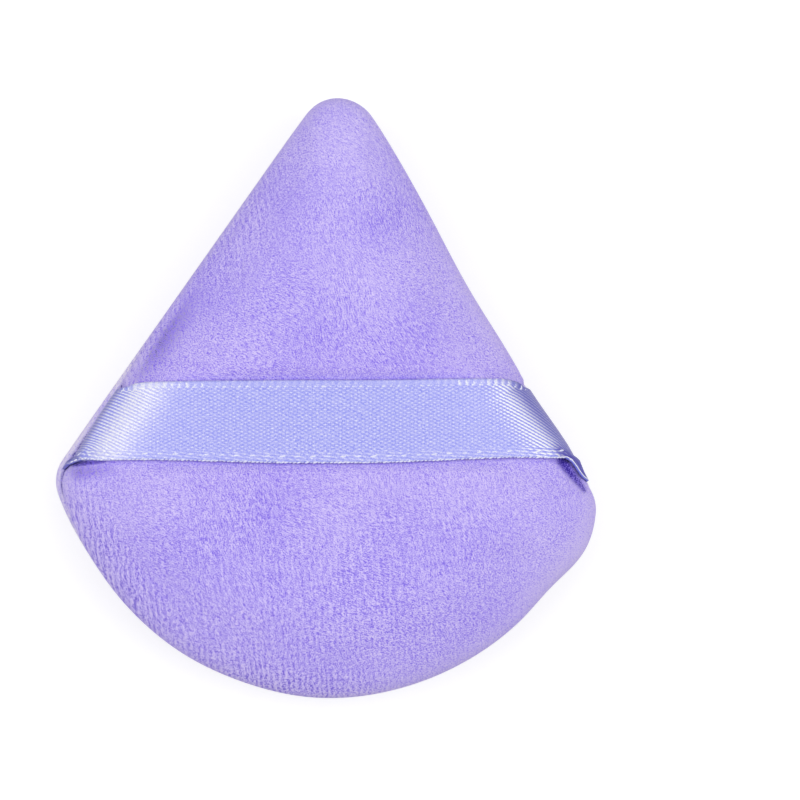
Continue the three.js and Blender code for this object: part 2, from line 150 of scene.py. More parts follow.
class Wire:
    """A socket that takes part in sums. Each operator adds a Math node."""

    def __init__(self, nodes, socket):
        self.nodes = nodes
        self.socket = socket

    def maths(self, operation, *values):
        return self.nodes.add("ShaderNodeMath", {"operation": operation}, dict(enumerate(values)))

    def __add__(self, other):
        return self.maths("ADD", self, other)

    def __radd__(self, other):
        return self.maths("ADD", other, self)

    def __sub__(self, other):
        return self.maths("SUBTRACT", self, other)

    def __rsub__(self, other):
        return self.maths("SUBTRACT", other, self)

    def __mul__(self, other):
        return self.maths("MULTIPLY", self, other)

    def __rmul__(self, other):
        return self.maths("MULTIPLY", other, self)

    def __truediv__(self, other):
        return self.maths("DIVIDE", self, other)

    def __rtruediv__(self, other):
        return self.maths("DIVIDE", other, self)

    def cosine(self):
        return self.maths("COSINE", self)

    def smallest(self, other):
        return self.maths("MINIMUM", self, other)

    def largest(self, other):
        return self.maths("MAXIMUM", self, other)

    def step(self, low, high):
        """0 below low and 1 above high, smooth between. A low above high turns it round."""
        settings = {"interpolation_type": "SMOOTHSTEP", "clamp": True}
        if low < high:
            ends = {"From Min": low, "From Max": high, "To Min": 0.0, "To Max": 1.0}
        else:
            ends = {"From Min": high, "From Max": low, "To Min": 1.0, "To Max": 0.0}
        return self.nodes.add("ShaderNodeMapRange", settings, {"Value": self, **ends})


print("a wire has operators, and", [name for name in vars(Wire) if not name.startswith("_")])

# %% Trees and the one method that adds their nodes


class Nodes:
    """A node tree that is ready for sums."""

    def __init__(self, tree):
        self.tree = tree

    def add(self, kind, settings=None, values=None, out=0):
        """Adds a node, sets it, fills or links its sockets, and returns one of its outputs."""
        node = self.tree.nodes.new(kind)
        for name, value in (settings or {}).items():
            setattr(node, name, value)
        for name, value in (values or {}).items():
            self.plug(node.inputs[name], value)
        return Wire(self, node.outputs[out])

    def plug(self, socket, value):
        """Links a wire to a socket, or sets the socket to a plain value."""
        if isinstance(value, Wire):
            self.tree.links.new(value.socket, socket)
        else:
            socket.default_value = value


print("a tree has", [name for name in vars(Nodes) if not name.startswith("_")])

# %% Finishes and colours


class Finish(Nodes):
    """The node tree of a material or of the world."""

    def __init__(self, owner):
        owner.use_nodes = True
        super().__init__(owner.node_tree)
        self.owner = owner

    def place(self):
        """Where a point lies in the puff's own frame, in metres."""
        return self.add("ShaderNodeTexCoord", out="Object")

    def number(self, name):
        """A number that the mesh carries at each point."""
        return self.add("ShaderNodeAttribute", {"attribute_name": name}, out="Fac")

    def split(self, vector):
        """The three parts of a vector."""
        parts = self.add("ShaderNodeSeparateXYZ", None, {"Vector": vector})
        return [Wire(self, socket) for socket in parts.socket.node.outputs]

    def mix(self, share, low, high):
        """A colour between two colours."""
        return self.add(
            "ShaderNodeMix", {"data_type": "RGBA"}, {0: share, 6: low, 7: high}, out=2
        )

    def bump(self, height, strength, depth):
        """A normal that follows a height, over a depth in millimetres."""
        values = {"Strength": strength, "Distance": depth * MM, "Height": height}
        return self.add("ShaderNodeBump", None, values)

    def surface(self, **values):
        """Fills the sockets of the material's own shader."""
        shader = self.tree.nodes["Principled BSDF"]
        for name, value in values.items():
            self.plug(shader.inputs[name.replace("_", " ")], value)


def new_finish(name):
    return Finish(bpy.data.materials.new(name))


def screen_colour(red, green, blue):
    """A colour as a screen shows it, from 0 to 255, in the linear values that Blender counts in."""
    shares = [channel / 255 for channel in (red, green, blue)]
    linear = [s / 12.92 if s <= 0.04045 else ((s + 0.055) / 1.055) ** 2.4 for s in shares]
    return (*linear, 1.0)


print("velour violet in linear values:", [round(x, 3) for x in screen_colour(181, 166, 243)])

# %% [markdown]
# Floor and light
#
# The picture has a plain white ground and light from both sides, which shows on the ribbon: it is
# brightest near both ends, where it slopes towards the left and the right. Two large soft lamps at
# the sides, a weak one above and an even white sky give that. Their level is chosen so that a colour
# renders about as it is written. The floor is a pale matt sheet that catches the puff's shadow, and
# only what the camera sees of it is raised to white.

# %% Floor
FLOOR_REACH = 1.5
FLOOR_DROP = 0.0002  # below the flat foot of the puff, so that the two don't flicker
FLOOR_LIFT = 0.55  # light that the camera sees on top of the floor's own


def seen_directly(finish):
    """1 for rays from the camera and for mirrored or refracted ones, and 0 for light on surfaces."""
    rays = [
        finish.add("ShaderNodeLightPath", out=name)
        for name in ("Is Camera Ray", "Is Glossy Ray", "Is Transmission Ray")
    ]
    return rays[0].largest(rays[1]).largest(rays[2])


floor_finish = new_finish("floor_paper")
floor_finish.surface(Base_Color=(0.6, 0.6, 0.6, 1), Roughness=0.9)
floor_finish.surface(Emission_Color=(1, 1, 1, 1))
floor_finish.surface(Emission_Strength=seen_directly(floor_finish) * FLOOR_LIFT)
floor_mesh = bpy.data.meshes.new("floor")
floor_corners = [(-1, -1), (1, -1), (1, 1), (-1, 1)]
floor_mesh.from_pydata(
    [(x * FLOOR_REACH, y * FLOOR_REACH, -FLOOR_DROP) for x, y in floor_corners], [], [(0, 1, 2, 3)]
)
floor_mesh.materials.append(floor_finish.owner)
floor = bpy.data.objects.new("floor", floor_mesh)
scene.collection.objects.link(floor)
print("floor", 2 * FLOOR_REACH, "m wide")

# %% Lamps and sky
SKY_LEVEL = 0.5
LAMP_DISTANCE = 0.6
LAMP_SIZE = 0.42
SIDE_LAMP_WATTS = 1.15
SIDE_LAMP_HEIGHT = math.radians(48)
TOP_LAMP_WATTS = 0.35
TOP_LAMP_AZIMUTH = math.radians(100)
TOP_LAMP_HEIGHT = math.radians(66)


def soft_lamp(name, azimuth, height, watts):
    """A square soft lamp that points at the puff."""
    data = bpy.data.lights.new(name, "AREA")
    data.shape = "SQUARE"
    data.size = LAMP_SIZE
    data.energy = watts
    towards = Vector(
        (math.cos(azimuth) * math.cos(height), math.sin(azimuth) * math.cos(height), math.sin(height))
    )
    lamp = bpy.data.objects.new(name, data)
    lamp.location = towards * LAMP_DISTANCE
    lamp.rotation_euler = towards.to_track_quat("Z", "Y").to_euler()
    scene.collection.objects.link(lamp)


soft_lamp("lamp_left", math.pi, SIDE_LAMP_HEIGHT, SIDE_LAMP_WATTS)
soft_lamp("lamp_right", 0, SIDE_LAMP_HEIGHT, SIDE_LAMP_WATTS)
soft_lamp("lamp_top", TOP_LAMP_AZIMUTH, TOP_LAMP_HEIGHT, TOP_LAMP_WATTS)

world = bpy.data.worlds.new("studio")
scene.world = world
sky = Finish(world)
sky.plug(sky.tree.nodes["Background"].inputs["Color"], (1, 1, 1, 1))
sky.plug(
    sky.tree.nodes["Background"].inputs["Strength"],
    seen_directly(sky) * (1 - SKY_LEVEL) + SKY_LEVEL,
)
scene.view_settings.view_transform = "Standard"
print("sky level", SKY_LEVEL)

# %% [markdown]
# Velour
#
# Velour is a knit with a short cut pile. The pile leans one way or another wherever it was last
# brushed, so the surface shows fine streaks in patches of different directions, and a patch that
# leans away from the light looks deeper. Where the cloth bends over an edge, the columns of the knit
# show as fine lines. All of this is smaller than the mesh can hold, so it comes from noise that is
# stretched along each nap direction, in the material's colour and bump. The soft lumps of the pile
# are in the mesh itself.

# %% Velour nap
STREAK_WIDTH = 0.11
STREAK_LENGTH = 0.6


def nap_streaks(finish, place, heading, width, length):
    """Noise that is drawn out along one heading, as brushed pile is."""
    drawn = finish.add(
        "ShaderNodeMapping",
        {"vector_type": "TEXTURE"},
        {
            "Vector": place,
            "Rotation": (0, 0, math.radians(heading)),
            "Scale": (length * MM, width * MM, width * MM),
        },
    )
    return finish.add("ShaderNodeTexNoise", None, {"Vector": drawn, "Scale": 1.0, "Detail": 2.0})


def soft_noise(finish, place, size, seed):
    """Slow noise with lumps of a size in millimetres. A seed moves it to another part."""
    moved = finish.add(
        "ShaderNodeMapping", None, {"Vector": place, "Location": (seed, 2 * seed, 3 * seed)}
    )
    return finish.add(
        "ShaderNodeTexNoise", None, {"Vector": moved, "Scale": 1 / (size * MM), "Detail": 1.0}
    )


def between(low, high, share):
    """A number between two wires."""
    return low + (high - low) * share


def wave(phase):
    """0 to 1 and back for each whole number of the phase."""
    return (phase * (2 * math.pi)).cosine() * 0.5 + 0.5


def swing(wire, weight):
    """A value round a half, as a swing round zero that is given a weight."""
    return (wire - 0.5) * weight


print(f"a nap streak is {STREAK_LENGTH / STREAK_WIDTH:.1f} times as long as wide")

# %% Columns of the knit
WALE_PITCH = 0.66
WALE_LEAN = 0.14
WALE_WIDTH = 0.26
WALE_LENGTH = 1.2
WANDER_SIZE = 3.0
WANDER = 1.6  # how far a column strays from its line, in columns
COLUMN_WEIGHT = 0.3
DASH_WEIGHT = 1.5


def knit_columns(finish, place):
    """Upright lines of the knit, broken into dashes, as a swing round zero."""
    x, y, _ = finish.split(place)
    wander = soft_noise(finish, place, WANDER_SIZE, seed=9)
    columns = wave((x + y * WALE_LEAN) / (WALE_PITCH * MM) + wander * WANDER)
    upright_lines = math.degrees(math.atan2(-1, WALE_LEAN))
    dashes = nap_streaks(finish, place, upright_lines, WALE_WIDTH, WALE_LENGTH)
    return swing(columns, COLUMN_WEIGHT) + swing(dashes, DASH_WEIGHT)


print(f"{1 / WALE_PITCH:.1f} columns to the millimetre")

# %% Velour finishes
VELOUR_DEEP = screen_colour(139, 115, 237)
VELOUR_PALE = screen_colour(220, 207, 255)
FRONT_EDGE_SHEEN = screen_colour(210, 197, 247)  # on a bent edge: painted sheen and light, over the paler pile tips and backing there
# painted sheen and light on the back cover's bent edge, over its paler pile tips
BACK_EDGE_SHEEN = screen_colour(236, 228, 248)
VELOUR_SHADE_AND_PITS = screen_colour(54, 34, 155)  # painted shade down in a crease, and the dark pits of the knit's columns
PATCH_SIZE = 13.0
PATCH_EDGE = (0.38, 0.62)  # of the noise, from one nap direction to the next
TONE_SIZE = 15.0
TONE_WEIGHT = 0.4
SPECK_SIZE = 0.11
SPECK_WEIGHT = 0.9
WALE_SPECKS = 1.3  # added to that weight where the columns show
CREASE_TONE = 0.4  # how much the painted shade in a crease deepens the pile's colour
EDGE_GRAIN = 0.8  # how far the grain breaks up a pale edge and its painted sheen
EDGE_LEAST = 0.1  # what it leaves of one at least
CREASE_GRAIN = 1.8  # how far it breaks up the painted shade in a crease
CREASE_SHADE = (0.1, 1.2)  # from where a crease starts to be dark to where it is darkest
PIT_GRAIN = (-0.15, -0.8)  # of the grain, from where a pit starts to its deepest
PIT_WEIGHT = 0.3
PILE_DEPTH = 0.07
PILE_BUMP = 0.5
SPECK_BUMP = 0.6


def brushed_nap(finish, place, headings):
    """Streaks in patches, each along one of the headings."""
    streaks = [nap_streaks(finish, place, h, STREAK_WIDTH, STREAK_LENGTH) for h in headings]
    nap = streaks[0]
    for seed, other in enumerate(streaks[1:], 1):
        patch = soft_noise(finish, place, PATCH_SIZE, seed).step(*PATCH_EDGE)
        nap = between(nap, other, patch)
    return nap


def velour(name, headings, level, contrast, edge):
    """Velour whose pile lies in patches along the given headings, with its colour at a bent edge, where
    sheen is painted.
    """
    finish = new_finish(name)
    place = finish.place()
    pale, deep, wale, brushed = (finish.number(n) for n in ("pale", "deep", "wale", "brushed"))
    nap = brushed_nap(finish, place, headings) + knit_columns(finish, place) * wale
    tone = soft_noise(finish, place, TONE_SIZE, seed=7)
    speck = soft_noise(finish, place, SPECK_SIZE, seed=5)
    grain = swing(nap, contrast) + swing(speck, (wale * WALE_SPECKS + SPECK_WEIGHT) * contrast)
    shade = grain + swing(tone, TONE_WEIGHT) + level
    # The deep number holds the pile's deeper tone at some edges and painted shade in creases, under the
    # ribbon's lower edge and in the seam's fold.
    shade = (shade + brushed - deep * CREASE_TONE).largest(0.0).smallest(1.0)
    colour = finish.mix(shade, VELOUR_DEEP, VELOUR_PALE)
    # Painted sheen and light on the pale edges, over the paler pile tips there.
    colour = finish.mix(pale * (grain * EDGE_GRAIN + 1.0).largest(EDGE_LEAST), colour, edge)
    # Painted shade in creases, under the ribbon and in the fold, and the dark pits of the knit.
    pits = grain.step(*PIT_GRAIN) * wale * PIT_WEIGHT
    dark = (deep * (1.0 + grain * CREASE_GRAIN)).step(*CREASE_SHADE).largest(pits)
    colour = finish.mix(dark, colour, VELOUR_SHADE_AND_PITS)
    pile = finish.bump(nap + speck * SPECK_BUMP, PILE_BUMP, PILE_DEPTH)
    finish.surface(Base_Color=colour, Roughness=0.92, Normal=pile)
    finish.surface(Sheen_Weight=0.2, Sheen_Roughness=0.45, Sheen_Tint=(0.9, 0.86, 1.0, 1.0))
    finish.surface(Specular_IOR_Level=0.15)
    return finish.owner


front_finish = velour(
    "brushed_velour", headings=(-50, -72, -22), level=0.52, contrast=2.6, edge=FRONT_EDGE_SHEEN
)
back_finish = velour("plain_velour", headings=(4, -12), level=0.58, contrast=2.1, edge=BACK_EDGE_SHEEN)
print("velour finishes:", front_finish.name, back_finish.name)

# %% [markdown]
# Satin
#
# A satin ribbon is woven so that most of a thread lies free on top, as a float, before it dips under
# the next one. The floats stand in staggered rows, about half a millimetre apart, and along one
# diagonal they line up, which shows as bright slanted lines where the ribbon bends towards a lamp.
# The pattern follows the cloth, so it reads the ribbon's own UV map, which counts millimetres along
# and across it. Both edges are woven more tightly, as selvedges.

# %% Satin weave
RIBBON_WIDTH = 10.0
FLOAT_PITCH = 0.92  # along the ribbon
FLOAT_ROW = 0.46  # across it
FLOAT_LEAST = 0.65  # of a line of floats between two of them, where they are drawn into painted glint lines
LOWER_SELVEDGE = 1.35
LOWER_BLEND = 0.25
UPPER_SELVEDGE = 0.65
UPPER_BLEND = 0.1
SELVEDGE_PITCH = 0.4
SELVEDGE_SLANT = 0.1
SELVEDGE_WANDER = 0.6
SELVEDGE_DASH = 0.95
DASH_SLANT = 1.3
DASH_LEAST = 0.3
WEFT_TURNS = (0.15, 0.5)  # between the turns of the weft at the upper edge, and on top of one
# How far the ribbon leans, below 0 to the left and above 0 to the right: from where the floats start
# to be drawn into painted glint lines to where they are.
GLINT_LEFT = (-0.22, -0.45)
GLINT_RIGHT = (0.22, 0.5)


def raised(height, least, most=1.0):
    """A height of 0 to 1, as one from the least to the most."""
    return height * (most - least) + least


def satin_weave(along, across, lean, uneven):
    """1 on top of a float and 0 between floats, with a tighter weave along both edges."""
    lines = wave(along / FLOAT_PITCH + across / FLOAT_ROW)
    crossing = wave(along / FLOAT_PITCH - across / FLOAT_ROW)
    # Painted glint: where the ribbon leans towards a lamp, the floats join into bright slanted lines.
    glint_lines = lean.step(*GLINT_LEFT).largest(lean.step(*GLINT_RIGHT))
    floats = lines * between(crossing, raised(crossing, FLOAT_LEAST), glint_lines)
    dashes = raised(wave(along / SELVEDGE_DASH + across * DASH_SLANT), DASH_LEAST)
    warp = wave((across + along * SELVEDGE_SLANT) / SELVEDGE_PITCH + uneven * SELVEDGE_WANDER)
    lower = across.step(LOWER_SELVEDGE, LOWER_SELVEDGE - LOWER_BLEND)
    weave = between(floats, warp * dashes, lower)
    turns = raised(wave(along / FLOAT_PITCH), *WEFT_TURNS)
    upper_start = RIBBON_WIDTH - UPPER_SELVEDGE
    upper = across.step(upper_start - UPPER_BLEND, upper_start + UPPER_BLEND)
    return between(weave, turns, upper)


print(f"{1 / FLOAT_PITCH:.2f} floats to the millimetre along the ribbon, {1 / FLOAT_ROW:.2f} across")

# %% Satin shade
LEFT_LIT = (-0.17, -0.45)  # leans between which the left lamp's painted highlight comes to show on the ribbon
RIGHT_LIT = (0.22, 0.48)
GAPS_OPEN = (-0.55, -0.85)  # leans between which the gaps beside the floats come to show
WEAVE_MIDDLE = 0.3
WEAVE_WEIGHT = 0.4
LEFT_WEAVE = 0.12  # added to that weight in the left lamp's light, where the right lamp adds 1
UNEVEN_WEIGHT = 0.25
GRAIN_WEIGHT = 1.2
# Painted highlights on the slopes that face the lamps.
LEFT_HIGHLIGHT = 0.28
RIGHT_HIGHLIGHT = 0.12
GAP_WEIGHT = 0.55
SATIN_LEVEL = 0.35


def satin_shade(weave, lean, uneven, grain):
    """How pale the satin is, from its weave and from a painted highlight where it leans towards the
    lamps.
    """
    left_lit, right_lit = lean.step(*LEFT_LIT), lean.step(*RIGHT_LIT)
    gaps = (1.0 - weave) * lean.step(*GAPS_OPEN)
    shade = (weave - WEAVE_MIDDLE) * (left_lit * LEFT_WEAVE + right_lit + WEAVE_WEIGHT)
    shade = shade + swing(uneven, UNEVEN_WEIGHT) + swing(grain, GRAIN_WEIGHT)
    return shade + left_lit * LEFT_HIGHLIGHT + right_lit * RIGHT_HIGHLIGHT - gaps * GAP_WEIGHT + SATIN_LEVEL


print("the left lamp shows from a lean of", LEFT_LIT[0], "and the right one from", RIGHT_LIT[0])

# %% Satin finish
SATIN_DEEP = screen_colour(132, 137, 236)
SATIN_MID = screen_colour(184, 185, 245)
SATIN_PALE = screen_colour(250, 250, 255)
SATIN_SHADED_SIDE = screen_colour(72, 69, 178)  # painted shade on the strip that turns away from the lamps at the right end
SATIN_SEAM_SHADE = screen_colour(70, 60, 168)  # painted shade where an end goes into the seam, and on the lower right corner
DEEP_TO_MID = (0.0, 0.5)  # of the shade
MID_TO_PALE = (0.4, 1.0)
UNEVEN_SIZE = 0.4
GRAIN_SIZE = 0.11
# Painted shade where the right end turns away from the lamps.
AWAY_LEAN = (0.54, 0.9)
AWAY_CANT = 0.016  # more lean for each millimetre across
AWAY_SHARE = 0.96
AWAY_WEAVE = 0.2  # how far the floats stay out of it
LEFT_IN = (-0.8, -1.0)  # leans between which an end goes into the seam, where shade is painted
RIGHT_IN = (0.84, 1.0)
IN_SHARE = 0.85
CORNER_ACROSS = (2.4, 0.7)  # painted shade on the lower corner at the right end
CORNER_LEAN = (0.52, 0.7)
CORNER_SHARE = 0.8
CORNER_WEAVE = 0.3
CUT_ACROSS = (0.14, 0.04)  # the thin side of the cloth beside that corner
CUT_LEAN = (0.5, 0.75)
CUT_HIGHLIGHT = (-0.12, -0.04)  # its upper part, where a painted highlight runs along the cut edge
CUT_SHARE = 0.9
SATIN_ROUGHNESS = 0.42
FLOAT_GLOSS = 0.12
CORNER_ROUGHNESS = 0.45  # added in the corner
WEAVE_BUMP = 0.5
WEAVE_DEPTH = 0.05


def satin():
    finish = new_finish("ribbon_satin")
    along, across, _ = finish.split(finish.add("ShaderNodeUVMap", {"uv_map": "cloth"}))
    lean = finish.number("lean")
    place = finish.place()
    uneven = soft_noise(finish, place, UNEVEN_SIZE, seed=3)
    grain = soft_noise(finish, place, GRAIN_SIZE, seed=6)
    weave = satin_weave(along, across, lean, uneven)
    shade = satin_shade(weave, lean, uneven, grain)
    colour = finish.mix(shade.step(*DEEP_TO_MID), SATIN_DEEP, SATIN_MID)
    colour = finish.mix(shade.step(*MID_TO_PALE), colour, SATIN_PALE)
    # Painted shade on the right end's turned-away strip.
    away = (lean + across * AWAY_CANT).step(*AWAY_LEAN)
    colour = finish.mix(away * (AWAY_SHARE - weave * AWAY_WEAVE), colour, SATIN_SHADED_SIDE)
    # Painted shade where the ends go into the seam and on the lower right corner.
    seam_shade = lean.step(*LEFT_IN).largest(lean.step(*RIGHT_IN))
    colour = finish.mix(seam_shade * IN_SHARE, colour, SATIN_SEAM_SHADE)
    corner = across.step(*CORNER_ACROSS) * lean.step(*CORNER_LEAN)
    corner_shade = corner * (1.0 - weave * CORNER_WEAVE) * CORNER_SHARE
    colour = finish.mix(corner_shade, colour, SATIN_SEAM_SHADE)
    cut_side = across.step(*CUT_ACROSS) * lean.step(*CUT_LEAN)
    colour = finish.mix(cut_side * CUT_SHARE, colour, SATIN_DEEP)
    # Painted highlight along the top of the cut edge.
    colour = finish.mix(cut_side * across.step(*CUT_HIGHLIGHT), colour, SATIN_PALE)
    roughness = SATIN_ROUGHNESS - weave * FLOAT_GLOSS + corner * CORNER_ROUGHNESS
    relief = finish.bump(weave, WEAVE_BUMP, WEAVE_DEPTH)
    finish.surface(Base_Color=colour, Roughness=roughness, Normal=relief)
    finish.surface(Specular_IOR_Level=0.8, Sheen_Weight=0.1, Sheen_Roughness=0.3)
    return finish.owner


satin_finish = satin()
print("satin finish:", satin_finish.name)

# %% [markdown]
# Threads and foam
#
# Sewing thread is spun from two plies, so it shows slanted turns. The selvedge thread of the ribbon
# is brighter than the satin. The foam is a pale open-cell block: cells from a Voronoi pattern give
# its pores.

# %% Thread and foam finishes
SEWING_DEEP = screen_colour(140, 122, 214)
SEWING_PALE = screen_colour(184, 170, 240)
SELVEDGE_DEEP = screen_colour(206, 209, 250)
FOAM_DEEP = screen_colour(205, 200, 190)
FOAM_PALE = screen_colour(246, 243, 236)
FIBRE_SIZE = 0.12
FIBRE_EDGE = (0.3, 0.7)  # of the noise, from deep to pale fibres
FIBRE_BUMP = 0.4
FIBRE_DEPTH = 0.03
FOAM_CELLS = 1800.0  # to the metre
CELL_EDGE = (0.1, 0.6)  # of a cell, from its deep middle to its pale wall
CELL_BUMP = 0.6
CELL_DEPTH = 0.2


def thread_finish(name, deep, pale, roughness):
    finish = new_finish(name)
    fibres = soft_noise(finish, finish.place(), FIBRE_SIZE, seed=2)
    colour = finish.mix(fibres.step(*FIBRE_EDGE), deep, pale)
    relief = finish.bump(fibres, FIBRE_BUMP, FIBRE_DEPTH)
    finish.surface(Base_Color=colour, Roughness=roughness, Normal=relief, Sheen_Weight=0.1)
    return finish.owner


def foam():
    finish = new_finish("foam_cells")
    values = {"Vector": finish.place(), "Scale": FOAM_CELLS}
    cells = finish.add("ShaderNodeTexVoronoi", None, values)
    colour = finish.mix(cells.step(*CELL_EDGE), FOAM_DEEP, FOAM_PALE)
    pores = finish.bump(cells, CELL_BUMP, CELL_DEPTH)
    finish.surface(Base_Color=colour, Roughness=0.95, Normal=pores)
    return finish.owner


sewing_finish = thread_finish("sewing_thread", SEWING_DEEP, SEWING_PALE, roughness=0.6)
selvedge_finish = thread_finish("selvedge_thread", SELVEDGE_DEEP, SATIN_PALE, roughness=0.4)
foam_finish = foam()
print("other finishes:", sewing_finish.name, selvedge_finish.name, foam_finish.name)

# %% [markdown]
# Outline of the fan
#
# The cover was cut to a fan: a wide arc at the bottom, two rounded corners, straight sides and a
# small rounded tip. Arcs and tangents give the drawn outline. Sewing and stuffing change it a little,
# so gentle pulls are then added along its normals, as wide smooth bumps.

# %% Arcs of the fan
tip_y = pad_length / 2 - TIP_RADIUS
corner_x = pad_width / 2 - CORNER_RADIUS
corner_y = CORNER_HEIGHT - pad_length / 2
bottom_radius = (corner_x**2 + CORNER_HEIGHT**2 - CORNER_RADIUS**2) / (
    2 * (CORNER_HEIGHT - CORNER_RADIUS)
)
bottom_y = bottom_radius - pad_length / 2
corner_turn = math.atan2(corner_y - bottom_y, corner_x)
side_run = math.hypot(corner_x, corner_y - tip_y)
side_turn = math.atan2(corner_y - tip_y, corner_x) + math.acos(
    (TIP_RADIUS - CORNER_RADIUS) / side_run
)
side_reach = tip_y * math.sin(side_turn) + TIP_RADIUS
crown_y = (side_reach - pad_length / 2) / (1 + math.sin(side_turn))
crown_radius = crown_y + pad_length / 2
crown_centre = np.array([0.0, crown_y])
print(f"bottom arc of radius {bottom_radius:.1f} mm, and the crown's circle {crown_radius:.1f} mm")

# %% Drawn outline
ARC_POINTS = 120
OUTLINE_POINTS = 2400


def arc(x, y, radius, start, end):
    turns = np.linspace(start, end, ARC_POINTS)
    return np.column_stack((x + radius * np.cos(turns), y + radius * np.sin(turns)))


def lengths_along(points):
    """How far each point of a line lies from the line's start, measured along it."""
    steps = np.linalg.norm(np.diff(points, axis=0), axis=-1)
    return np.concatenate(([0], np.cumsum(steps)))


def read_line(wanted, places, values):
    """Vectors that stand at places along a line, read at the wanted places."""
    return np.stack([np.interp(wanted, places, axis) for axis in values.T], -1)


def evenly(points, count):
    """The same closed line with its points evenly spaced, the first one repeated at the end."""
    length = lengths_along(points)
    return read_line(np.linspace(0, length[-1], count + 1), length, points)


def outward_normals(points):
    """Normals of a closed anticlockwise line whose first point is repeated at its end."""
    ring = points[:-1]
    along = np.roll(ring, -1, axis=0) - np.roll(ring, 1, axis=0)
    along /= np.hypot(*along.T)[:, None]
    normals = np.column_stack((along[:, 1], -along[:, 0]))
    return np.vstack((normals, normals[:1]))


drawn_outline = evenly(
    np.vstack(
        (
            arc(0, tip_y, TIP_RADIUS, math.pi / 2, math.pi - side_turn),
            arc(-corner_x, corner_y, CORNER_RADIUS, math.pi - side_turn, math.pi - corner_turn),
            arc(0, bottom_y, bottom_radius, math.pi - corner_turn, 2 * math.pi + corner_turn),
            arc(corner_x, corner_y, CORNER_RADIUS, corner_turn, side_turn),
            arc(0, tip_y, TIP_RADIUS, side_turn, math.pi / 2),
        )
    ),
    OUTLINE_POINTS,
)
print(f"outline {lengths_along(drawn_outline)[-1]:.1f} mm round")

# %% Sewn outline
# Each pull is a place on the outline, how far it moves out (or in), and how far it spreads, in mm.
BOTH_PULLS = [
    ((0, 37), -0.2, 5),
    ((2.5, 36.3), -0.15, 3),
    ((0, -37), 0.1, 9),
    ((-10, -35.5), -0.28, 8),
    ((-23, -27), -0.55, 11),
    ((-29.3, -20), -0.4, 7),
    ((17, 13), -0.75, 11),
    ((25, 1.5), -0.45, 6),
    ((31.6, -17.3), 1.15, 5.5),
    ((29, -22.5), -0.3, 4.5),
    ((32.8, -10.6), -0.25, 2.5),
]
FRONT_PULLS = BOTH_PULLS + [
    ((-32, -9), -0.9, 7),
    ((-25.5, 0.5), -0.35, 5),
    ((31.7, -8.8), -0.55, 2.4),
]
print(len(BOTH_PULLS), "pulls on both covers, and", len(FRONT_PULLS), "in all on the front one")

# %% Where the ribbon crosses the pad
RIBBON_MIDDLE_Y = -3.0
RIBBON_TILT = math.radians(2.2)
RIM_PRESS = 0.45  # how far the ribbon presses the front cover's edge in
RIM_PRESS_EDGE = (0.7, 0.2)  # inside and outside the ribbon's edge, where that fades
LEFT_DRAW = (0.43, -0.12)  # how far the lower and upper edge are drawn towards the tip, near the rim
RIGHT_DRAW = (0.58, 0.2)
DRAW_SPAN = (3, 24)  # from the ribbon's middle, where that starts and where it is full
ribbon_along = np.array([math.cos(RIBBON_TILT), math.sin(RIBBON_TILT), 0.0])
ribbon_across = np.array([-math.sin(RIBBON_TILT), math.cos(RIBBON_TILT), 0.0])


def smooth(low, high, values):
    """0 below low and 1 above high, smooth between."""
    t = np.clip((values - low) / (high - low), 0, 1)
    return t * t * (3 - 2 * t)


def under_ribbon(plan, inside, outside):
    """1 under the ribbon, fading to 0 between two distances from its edges."""
    away = abs((plan - [0, RIBBON_MIDDLE_Y]) @ ribbon_across[:2]) - RIBBON_WIDTH / 2
    return 1 - smooth(-inside, outside, away)


def below_ribbon(plan):
    """How far below the ribbon's lower edge each point lies."""
    along = plan @ ribbon_along[:2]
    drawn = np.where(along < 0, LEFT_DRAW[0], RIGHT_DRAW[0]) * smooth(*DRAW_SPAN, abs(along))
    return drawn - RIBBON_WIDTH / 2 - (plan - [0, RIBBON_MIDDLE_Y]) @ ribbon_across[:2]


rim_share = under_ribbon(drawn_outline, 0, RIM_PRESS_EDGE[1]).mean()
print(f"the ribbon crosses {rim_share:.0%} of the outline")

# %% Sewn rims


def nearness(plan, place, spread):
    """1 at a place, falling to 0 round it."""
    return np.exp(-((np.linalg.norm(plan - place, axis=1) / spread) ** 2))


def sewn_outline(pulls):
    """The drawn outline after its pulls, evenly spaced again."""
    normals = outward_normals(drawn_outline)
    moved = drawn_outline.copy()
    for place, out, spread in pulls:
        moved += normals * (out * nearness(drawn_outline, place, spread))[:, None]
    return evenly(moved, OUTLINE_POINTS)


class Rim:
    """A cover's sewn outline, with what the wrapped grids read from it."""

    def __init__(self, pulls, press):
        points = sewn_outline(pulls)
        self.normals = outward_normals(points)
        pressed = press * under_ribbon(points, *RIM_PRESS_EDGE)
        self.points = points - pressed[:, None] * self.normals
        rays = self.points[:-1] - crown_centre
        order = np.argsort(np.arctan2(rays[:, 1], rays[:, 0]))
        self.turns = np.arctan2(rays[:, 1], rays[:, 0])[order]
        self.reaches = np.hypot(*rays.T)[order]

    def at(self, shares):
        """Points and normals at shares of the way round, from the tip."""
        steps = np.linspace(0, 1, OUTLINE_POINTS + 1)
        return read_line(shares, steps, self.points), read_line(shares, steps, self.normals)

    def outward_share(self, x, y):
        """0 at the crown's centre and 1 on the outline."""
        turns = np.arctan2(y - crown_y, x)
        reach = np.interp(turns, self.turns, self.reaches, period=2 * math.pi)
        return np.hypot(x, y - crown_y) / reach


front_rim = Rim(FRONT_PULLS, RIM_PRESS)
back_rim = Rim(BOTH_PULLS, 0)
print("sewn width", round(float(np.ptp(front_rim.points[:, 0])), 2), "mm")

